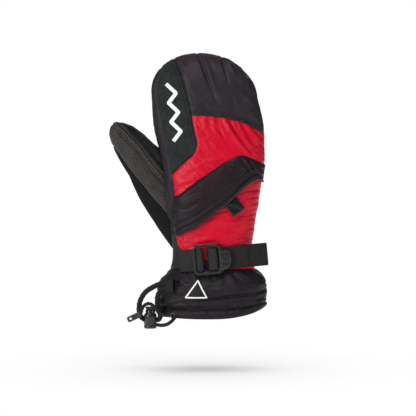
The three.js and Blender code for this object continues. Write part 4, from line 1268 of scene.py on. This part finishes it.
parts = []
for i in range(51):
    u = -32.5 + i * 1.3
    reach = 1.7 if i % 2 else -1.7
    tooth = [zip_place(u, v, h) for v, h in ((reach, 0.1), (reach * 0.8, 0.75), (0, 0.95),
                                             (-reach * 0.4, 0.7))]
    parts.append(sweep(np.array(tooth), circle(0.52, 8)))
points, faces = joined(parts)
mesh_piece("zip_coil_teeth", points, faces, PLASTIC, "hand", "plastic", cover=["zip_coil"])

rows = []
PULL_V, PULL_U, PULL_COLUMNS = (-26.5, -10.2), (4.3, 20.6), 25
for v in np.linspace(*PULL_V, 23):
    for u in np.linspace(*PULL_U, PULL_COLUMNS):
        edge_u = min(u - PULL_U[0], PULL_U[1] - u)
        edge_v = min(v - PULL_V[0], 3)
        crown = 0.75 * min(edge_u / 1.2, 1) ** 0.5 * (0.35 + 0.65 * min(edge_v / 1.2, 1) ** 0.5)
        ripple = 0.10 * math.sin(v * 1.9) + 0.18 * math.sin(u * 0.5 + v * 0.35)
        rows.append((u, v, 1.95 + crown + ripple))
top = [zip_place(*row) for row in rows]
bottom = [zip_place(u, v, 1.05 + 0.1 * math.sin(u * 0.5)) for u, v, _ in rows]


points, faces = slab(top, bottom, PULL_COLUMNS)
mesh_piece("zip_pull_ribbon", points, faces, SATIN, "zip_pull", "webbing", cover=["zip_pull_tab"])


# ---- Wrist strap and buckle, in their own tilted frame ----
STRAP_AT, STRAP_TILT = (0, -35.2, 68.5), math.radians(5.2)


def turned(points, angle, first, second):
    """Points turned from one axis towards another, by number."""
    out = np.array(points, float)
    c, s = math.cos(angle), math.sin(angle)
    a, b = out[:, first].copy(), out[:, second].copy()
    out[:, first], out[:, second] = a * c - b * s, a * s + b * c
    return out


def strap_place(p):
    return turned(p, STRAP_TILT, 0, 2) + STRAP_AT


def strip(path, width, thick, wide_axis, rib=1.5, depth=0.12, closed=False):
    """Ribbed webbing along a path, with its width along a fixed axis."""
    path, run = resample(path, 0.3)
    if closed:
        path = path[:-1]
        tangent = np.roll(path, -1, axis=0) - np.roll(path, 1, axis=0)
    else:
        tangent = np.gradient(path, axis=0)
    wide = np.array(wide_axis, float)
    up = np.cross(wide, unit(tangent))
    over = np.linspace(-1, 1, 13)
    shares, signs = np.concatenate([over, over[::-1]]), np.repeat([1, -1], 13)
    rings = []
    for i, p in enumerate(path):
        wave = depth * math.sin(2 * math.pi * run[i] / rib)
        half = thick / 2 * (1 - 0.55 * np.abs(shares) ** 10) + wave * (1 - np.abs(shares) ** 6)
        rings.append(p + wide * (width / 2 * shares)[:, None] + up[i] * (signs * half)[:, None])
    rows, count = len(rings), len(shares)
    faces = quads(rows, count, looped=closed)
    if not closed:
        faces += [tuple(range(count))[::-1], tuple(range((rows - 1) * count, rows * count))]
    return np.concatenate(rings), faces


def bend(x, start, end):
    """Round a bar's webbing, from one angle in degrees to another."""
    return [(x + ROLL * math.cos(a), ROLL * math.sin(a)) for a in np.radians(np.linspace(start, end, 24))]


def strap_strip(name, path, cloth, body, cover, **settings):
    points, faces = strip([(x, y, 0) for x, y in path], 25.8, 1.4, (0, 0, 1), **settings)
    mesh_piece(name, strap_place(points), faces, cloth, body, "webbing", cover=[cover])


ANCHOR = [(-37, 9.6), (-31, 7.6), (-26, 6.2), (-22, 5), (-19.5, 4.2), (-17.2, 3.3), (-15.6, 2.8)]
LOAD = [(4.4, 4.9), (9, 5.1), (14, 5.55), (18, 6), (22, 6.7), (25, 7.4), (28, 8.3), (31, 9.4), (34, 10.8),
        (37, 12.6), (40, 15)]
BAR_1, BAR_2, ROLL = -13.9, 0.5, 2.6
over_bar_1 = [*ANCHOR, (-14.2, 2.6), *bend(-13.0, 85, -90), (-14.6, -2.5), (-16.2, -2.1), (-17.3, -1),
              (-17.5, 0.4)]
over_bar_2 = [(5.4, 2.6), (3, 2.6), (0.5, 2.6), *bend(-1.8, 95, 270), (0.5, -2.6), (2.6, -2.6), (4.4, -2.3),
              (5.7, -1.4), (6.3, -0.2), (6.4, 0.8)]
strap_strip("strap_anchor_webbing", over_bar_1, WEBBING_SOFT, "hand", "strap_anchor")
strap_strip("strap_loop_webbing", over_bar_2, WEBBING_SOFT, "buckle", "strap_loop")
strap_strip("strap_load_webbing", LOAD, WEBBING, "hand", "strap_load")


def tail_y(x):
    return 2.75 + 0.09 * (x - 4.4)


tail = [(x, tail_y(x)) for x in np.linspace(4.4, 62.2, 30)]
tail += [(62.2 + 0.78 * math.sin(a), tail_y(62.2) - 0.78 + 0.78 * math.cos(a)) for a in np.linspace(0.3,
math.pi, 9)]
tail += [(x, tail_y(x) - 1.56) for x in np.linspace(61.5, 42, 12)]
strap_strip("strap_tail_webbing", tail, WEBBING, "strap_tail", "strap_tail", rib=1.7, depth=0.1)


def thread_on_strap(lines, height):
    parts = []
    for line in lines:
        fine, run = resample(np.array([(x, tail_y(x) - height, z) for x, z in line], float), 0.3)
        start = 0
        while start + 1.8 < run[-1]:
            at = start + np.array([0, 0.3, 0.9, 1.5, 1.8])
            stitch = sampled(at, run, fine)
            stitch[:, 1] -= np.array([-0.3, 0.1, 0.18, 0.1, -0.3])
            parts.append(sweep(strap_place(stitch), circle(0.24, 6)))
            start += 2.3
    return joined(parts)


box = [(43.6, -11), (60.8, -11), (60.8, 11), (43.6, 11), (43.6, -11)]
cross = [[(43.6, -11), (60.8, 11)], [(43.6, 11), (60.8, -11)]]
points, faces = thread_on_strap([box, *cross], 2.26)
mesh_piece("strap_tail_stitches", points, faces, THREAD, "strap_tail", "thread")

BUCKLE_CORNERS = [(-21.2, 14.5), (-18.2, 17.5), (8, 17.5), (12, 14), (18, 12), (21, 7), (22, 2)]
outline = BUCKLE_CORNERS + [(x, -z) for x, z in BUCKLE_CORNERS[::-1]]
WINDOW = (-19.0, 7.8, 13.4)


def rounded_outline(corners, radius, per=7):
    """Closed outline with each corner replaced by a short curve."""
    out = []
    n = len(corners)
    for i in range(n):
        p, a, b = (np.array(corners[k % n], float) for k in (i, i - 1, i + 1))
        la, lb = np.linalg.norm(a - p), np.linalg.norm(b - p)
        start = p + (a - p) / la * min(radius, la / 2.2)
        end = p + (b - p) / lb * min(radius, lb / 2.2)
        for k in range(per + 1):
            t = k / per
            out.append((1 - t) ** 2 * start + 2 * t * (1 - t) * p + t**2 * end)
    return np.array(out)


def evenly(outline, count):
    """A closed outline as so many evenly spaced points."""
    loop = np.vstack([outline, outline[:1]])
    run = run_along(loop)
    return sampled(np.linspace(0, run[-1], count + 1)[:-1], run, loop)


def frame_mesh(outer, inner, thick, crown_of):
    """A ring-shaped plate between two outlines of equal length; crown_of gives its height over x, z."""
    n = len(outer)
    shares = [0, 0.02, 0.06, 0.13, 0.24, 0.38, 0.5, 0.62, 0.76, 0.87, 0.94, 0.98, 1]
    rings = []
    for side in (-1, 1):
        order = shares if side < 0 else shares[::-1]
        for share in order:
            flat = outer * (1 - share) + inner * share
            width = np.linalg.norm(outer - inner, axis=1)
            gap = np.minimum(share, 1 - share) * width
            round_off = np.sqrt(np.clip(1 - (1 - np.minimum(gap / 1.1, 1)) ** 2, 0, 1))
            half = thick / 2 * (0.35 + 0.65 * round_off)
            extra = crown_of(flat, gap) if side < 0 else np.zeros(n)
            rings.append(np.stack([flat[:, 0], side * (half + extra), flat[:, 1]], 1))
    return np.concatenate(rings), quads(len(rings), n, looped=True)


def nose_relief(flat, gap):
    """A raised wedge on the nose with three grip grooves."""
    x, z = flat[:, 0], flat[:, 1]
    inside = smooth_step(x, 9.4, 11.2) * smooth_step(gap, 0.6, 1.6) * (1 - smooth_step(np.abs(z), 8.5, 12.5))
    grooves = sum(bell(x - at, 0.45) for at in (12.6, 15.2, 17.8)) * (np.abs(z) < 7)
    return inside * (0.7 - 0.06 * (x - 10)) - 0.55 * grooves


outer = evenly(rounded_outline(outline, 2.4), 220)
centre = np.array([(WINDOW[0] + WINDOW[1]) / 2, 0])
half_size = np.array([(WINDOW[1] - WINDOW[0]) / 2, WINDOW[2]])
ray = outer - centre
reach = (np.abs(ray / half_size) ** 10).sum(1) ** (1 / 10)
inner = centre + ray / reach[:, None]
points, faces = frame_mesh(outer, inner, 3.3, nose_relief)
parts = [(strap_place(points), faces)]
for x in (BAR_1, BAR_2):
    bar = np.array([(x, 0, z) for z in np.linspace(-14.6, 14.6, 12)])
    parts.append(sweep(strap_place(bar), circle(1.5, 20)))
points, faces = joined(parts)
mesh_piece("buckle_body", points, faces, PLASTIC, "buckle", "plastic", cover=["buckle_frame"])


# ---- Leash loop, cord lock and drawcord tab ----
LOOP_AT, LOOP_TURN = (-47.3, -34.4, 38), math.radians(-29)
corner = rounded_outline([(-3.6, -7.05), (3.6, -7.05), (3.6, 7.05), (-3.6, 7.05)], 2.6)
path = np.array([(0, y, z) for y, z in corner] + [(0, corner[0][0], corner[0][1])])
points, faces = strip(path, 11, 1.4, (1, 0, 0), rib=1.3, depth=0.12, closed=True)
mesh_piece("leash_loop_webbing", turned(points, LOOP_TURN, 0, 1) + LOOP_AT, faces, WEBBING, "hand",
           "webbing", cover=["leash_loop"])

LX, LY = -70.5, -24.5


def lathe(profile, sides=56):
    """Closed turned body from a profile of [radius, z] that starts and ends on the axis."""
    profile = np.array(profile, float)
    a = np.linspace(0, 2 * math.pi, sides, endpoint=False)
    inner = profile[1:-1]
    rings = [np.stack([LX + r * np.cos(a), LY + r * np.sin(a), np.full(sides, z)], 1) for r, z in inner]
    points = np.concatenate([*rings, [(LX, LY, profile[0][1])], [(LX, LY, profile[-1][1])]])
    faces = quads(len(inner), sides)
    first, last = len(points) - 2, len(points) - 1
    faces += [(first, (j + 1) % sides, j) for j in range(sides)]
    top = (len(inner) - 1) * sides
    faces += [(last, top + j, top + (j + 1) % sides) for j in range(sides)]
    return points, faces


def drilled(name, points, faces, holes, body, node):
    """A turned body with holes: each a start, an end and a radius."""
    piece = mesh_piece(name, points, faces, LOCK_PLASTIC, body, "plastic", cover=[node])
    cutters = []
    for start, end, radius in holes:
        p, f = sweep(np.array([start, end], float), circle(radius, 32))
        data = bpy.data.meshes.new("cutter")
        data.from_pydata([tuple(c * MM for c in q) for q in p], [], f)
        cutter = bpy.data.objects.new("cutter", data)
        scene.collection.objects.link(cutter)
        cut = piece.modifiers.new("hole", "BOOLEAN")
        cut.object = cutter
        cut.solver = "EXACT"
        cutters.append(cutter)
    bpy.context.view_layer.update()
    graph = bpy.context.evaluated_depsgraph_get()
    solid = bpy.data.meshes.new_from_object(piece.evaluated_get(graph))
    piece.modifiers.clear()
    piece.data = solid
    solid.shade_smooth()
    solid.set_sharp_from_angle(angle=math.radians(40))
    for cutter in cutters:
        bpy.data.objects.remove(cutter)
    return piece


barrel_profile = [
    (0, -11), (5.6, -11), (6.4, -10.8), (6.95, -10.2), (7.2, -9.3), (7.2, -8.2), (6.95, -7.9), (6.95, -7.2),
    (7.2, -6.9), (7.2, 4.0), (7.05, 4.9), (6.6, 5.7), (6.2, 6), (5.95, 5.9), (5.8, 5.5), (5.8, -8.9),
    (0, -8.9),
]
front = math.radians(-40)
front_hole = [*((LX + r * math.cos(front), LY + r * math.sin(front), -6.4) for r in (3, 9)), 2.3]
cord_hole = ((LX - 12, LY, -0.8), (LX + 12, LY, -0.8), 3.2)
drilled("cord_lock_body", *lathe(barrel_profile), [cord_hole, front_hole], "cord_lock", "cord_lock_barrel")
plunger_profile = [
    (0, -4), (4.9, -4), (5.4, -3.5), (5.5, -3), (5.5, 9.6), (5.3, 10.2), (4.7, 10.6), (4.7, 11.1),
    (5.2, 11.5),
    (5.5, 12), (5.5, 12.9), (5.2, 13.5), (4.6, 13.8), (3.4, 13.8), (3.0, 13.4), (0, 13.3),
]
button_hole = ((LX - 12, LY, 0.1), (LX + 12, LY, 0.1), 3.05)
drilled("cord_lock_button", *lathe(plunger_profile), [button_hole], "plunger", "cord_lock_plunger")
turns = np.linspace(0, 1, 160)
coil = np.stack([LX + 3 * np.cos(turns * 8 * math.pi), LY + 3 * np.sin(turns * 8 * math.pi),
                 -8.3 + 3.7 * turns], 1)
points, faces = sweep(coil, circle(0.32, 8))
spring = mesh_piece("cord_lock_coil_spring", points, faces, STEEL, "cord_lock", "steel",
                    cover=["cord_lock_spring"])
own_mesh(spring)

TAB_TILT = math.radians(25)
outer = evenly(rounded_outline([(-8.5, -3.3), (8.5, -3.3), (8.5, 3.3), (-8.5, 3.3)], 2.2), 96)
hole_at = np.array([-4.6, 0])
inner = hole_at + unit(outer - hole_at) * 1.3


def tab_relief(flat, gap):
    """A shallow sunk field on the tab."""
    return -0.2 * smooth_step(gap, 1.0, 1.6) * (np.abs(flat[:, 0] - 2.5) < 4)


points, faces = frame_mesh(outer, inner, 2.2, tab_relief)
points = turned(points, TAB_TILT, 0, 2) + np.array([-88.4, -33, 2.6])
tab = mesh_piece("drawcord_tab_body", points, faces, TAB_PLASTIC, "hand", "plastic", cover=["drawcord_tab"])
cord_piece("drawcord_upper_strand", DRAW_UPPER, 2.0, "drawcord_upper",
           strands=3,
           pitch=3.6)


# ---- Grip patch on the palm ----
def patch_face(u, v):
    edge = np.maximum(np.abs(u), np.abs(v))
    crown = 2.3 * np.sqrt(np.clip(1 - np.clip((edge - 0.9) / 0.1, 0, 1) ** 2, 0, 1))
    quilt = 0.45 * np.abs(np.sin(u * 10.5 + v * 3)) ** 0.5 * np.abs(np.sin(v * 10 - u * 2.2)) ** 0.5
    return crown * 0.6 + quilt * (edge < 0.93)


top, bottom = [], []
PATCH_COLUMNS = 81
for v in np.linspace(-1, 1, 111):
    for u in np.linspace(-1, 1, PATCH_COLUMNS):
        corner = (np.abs(u) ** 6 + np.abs(v) ** 6) ** (1 / 6) or 1
        square = max(abs(u), abs(v))
        x, z = -1 + 28 * u * square / corner, 149 + 38 * v * square / corner
        hit = touch(PALMS, x, z, 0, side=1)
        top.append((x, hit[0][1] + 0.35 + float(patch_face(u, v)), z))
        bottom.append((x, hit[0][1] - 0.3, z))
points, faces = slab(top, bottom, PATCH_COLUMNS)
faces = [f[::-1] for f in faces]
mesh_piece("palm_grip_pad", points, faces, PALM_GRIP, "hand", "grip", cover=["palm_grip_patch"])


# ---- Layers inside: membrane, wadding, lining ----
def inner_layer(name, inset, thick, part, cloth, slot, cover, quilt=0.0):
    back, palm = 56, 44
    grid = hand_grid(CUFF_TOP, 3.0, back, palm, inset, 14)
    rows, columns = grid.shape[:2]
    faces = quads(rows, columns)
    if part == "back":
        faces = [f for k, f in enumerate(faces) if k % columns < back]
    elif part == "palm":
        faces = [f for k, f in enumerate(faces) if k % columns >= back]
    if part != "back":
        faces.append(tuple(range((rows - 1) * columns, rows * columns)))
    layer = Surface(grid)
    points, normals, small, _, _ = layer.panel(faces)
    x, z = points[:, 0] * 0.13, points[:, 2] * 0.13
    pattern = np.abs(np.sin(x + z) * np.sin(x - z))
    points = points - normals * (quilt * (1 - pattern) + 0.12 * noise(points, 9))[:, None]
    return mesh_piece(name, points, small, cloth, "hand", slot, thick=thick, cover=cover)


FILM_NODES = ["waterproof_membrane", "pocket_bag", "wrist_elastic"]
inner_layer("membrane_film", 3.0, 0.4, "all", FILM, "membrane", FILM_NODES)
inner_layer("wadding_back_layer", 3.8, 3.0, "back", WADDING, "wadding", ["insulation_back"], 0.4)
inner_layer("wadding_palm_layer", 3.8, 3.0, "palm", WADDING, "wadding", ["insulation_palm"], 0.4)
inner_layer("fleece_hand_lining", 7.7, 1.0, "all", FLEECE, "fleece", ["fleece_lining"], 0.5)


def thumb_layer(name, inset, thick, cloth, slot, node):
    grid = thumb_grid(40, 36, inset, low=2.12)
    rows, columns = grid.shape[:2]
    faces = quads(rows, columns) + [tuple(range((rows - 1) * columns, rows * columns))[::-1]]
    return mesh_piece(name, grid.reshape(-1, 3), faces, cloth, "thumb", slot, thick=thick, cover=[node])


thumb_layer("thumb_film", 3.0, 0.4, FILM, "membrane", "thumb_membrane")
thumb_layer("thumb_wadding", 3.8, 3.0, WADDING, "wadding", "thumb_insulation")
thumb_layer("thumb_fleece", 7.7, 1.0, FLEECE, "fleece", "thumb_lining")


def rumpled(grid, amount, size):
    points = grid.reshape(-1, 3)
    return points - normals_of(grid).reshape(-1, 3) * (amount * noise(points, size))[:, None]


grid = cuff_grid(26, 64, 56, 4.9, 7, CUFF_TOP + 0.5)
points, faces = rumpled(grid, 0.9, 7), quads(*grid.shape[:2])
mesh_piece("cuff_fleece_lining", points, faces, FLEECE, "hand", "fleece", 0.9, ["cuff_lining"])
grid = cuff_grid(26, 64, 56, 4.9, 0.6, 9.5)
points, faces = rumpled(grid, 0.4, 5), quads(*grid.shape[:2])
mesh_piece("hem_facing_tape", points, faces, BLACK, "hand", "black_nylon", 0.8, ["hem_facing"])
loop = cuff_grid(26, 64, 56, 3.3, 3.5, 8)[4]
closed_path, _ = resample([*loop, loop[0]], 0.9)
points, faces = sweep(closed_path, circle(1.2, 10), relief_of=braid(3, 3))
mesh_piece("hem_elastic_cord", points, faces, CORD, "hand", "elastic", cover=["hem_drawcord"])


# ---- Finishes of the CAD parts that stay ----
KEPT = {
    "zip_tape_upper": BINDING, "zip_tape_lower": BINDING, "zip_slider": STEEL, "zip_stop_left": STEEL,
    "zip_stop_right": STEEL, "cord_eyelet": STEEL,
}
for node, cloth in KEPT.items():
    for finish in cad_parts[node].material_slots:
        finish.link = "OBJECT"
        finish.material = cloth

# ---- Floor ----
FLOOR = -0.06
data = bpy.data.meshes.new("floor")
data.from_pydata([(-8, -8, FLOOR), (8, -8, FLOOR), (8, 8, FLOOR), (-8, 8, FLOOR)], [], [(0, 1, 2, 3)])
data.materials.append(FLOOR_PAINT)
floor = bpy.data.objects.new("floor", data)
scene.collection.objects.link(floor)
floor_only = bpy.data.collections.new("lit_by_floor_light")
all_but_floor = bpy.data.collections.new("lit_by_object_lights")
for group, lamps, state in ((floor_only, [floor_light], "INCLUDE"),
                            (all_but_floor, object_lights, "EXCLUDE")):
    group.objects.link(floor)
    group.collection_objects[0].light_linking.link_state = state
    for lamp in lamps:
        lamp.light_linking.receiver_collection = group
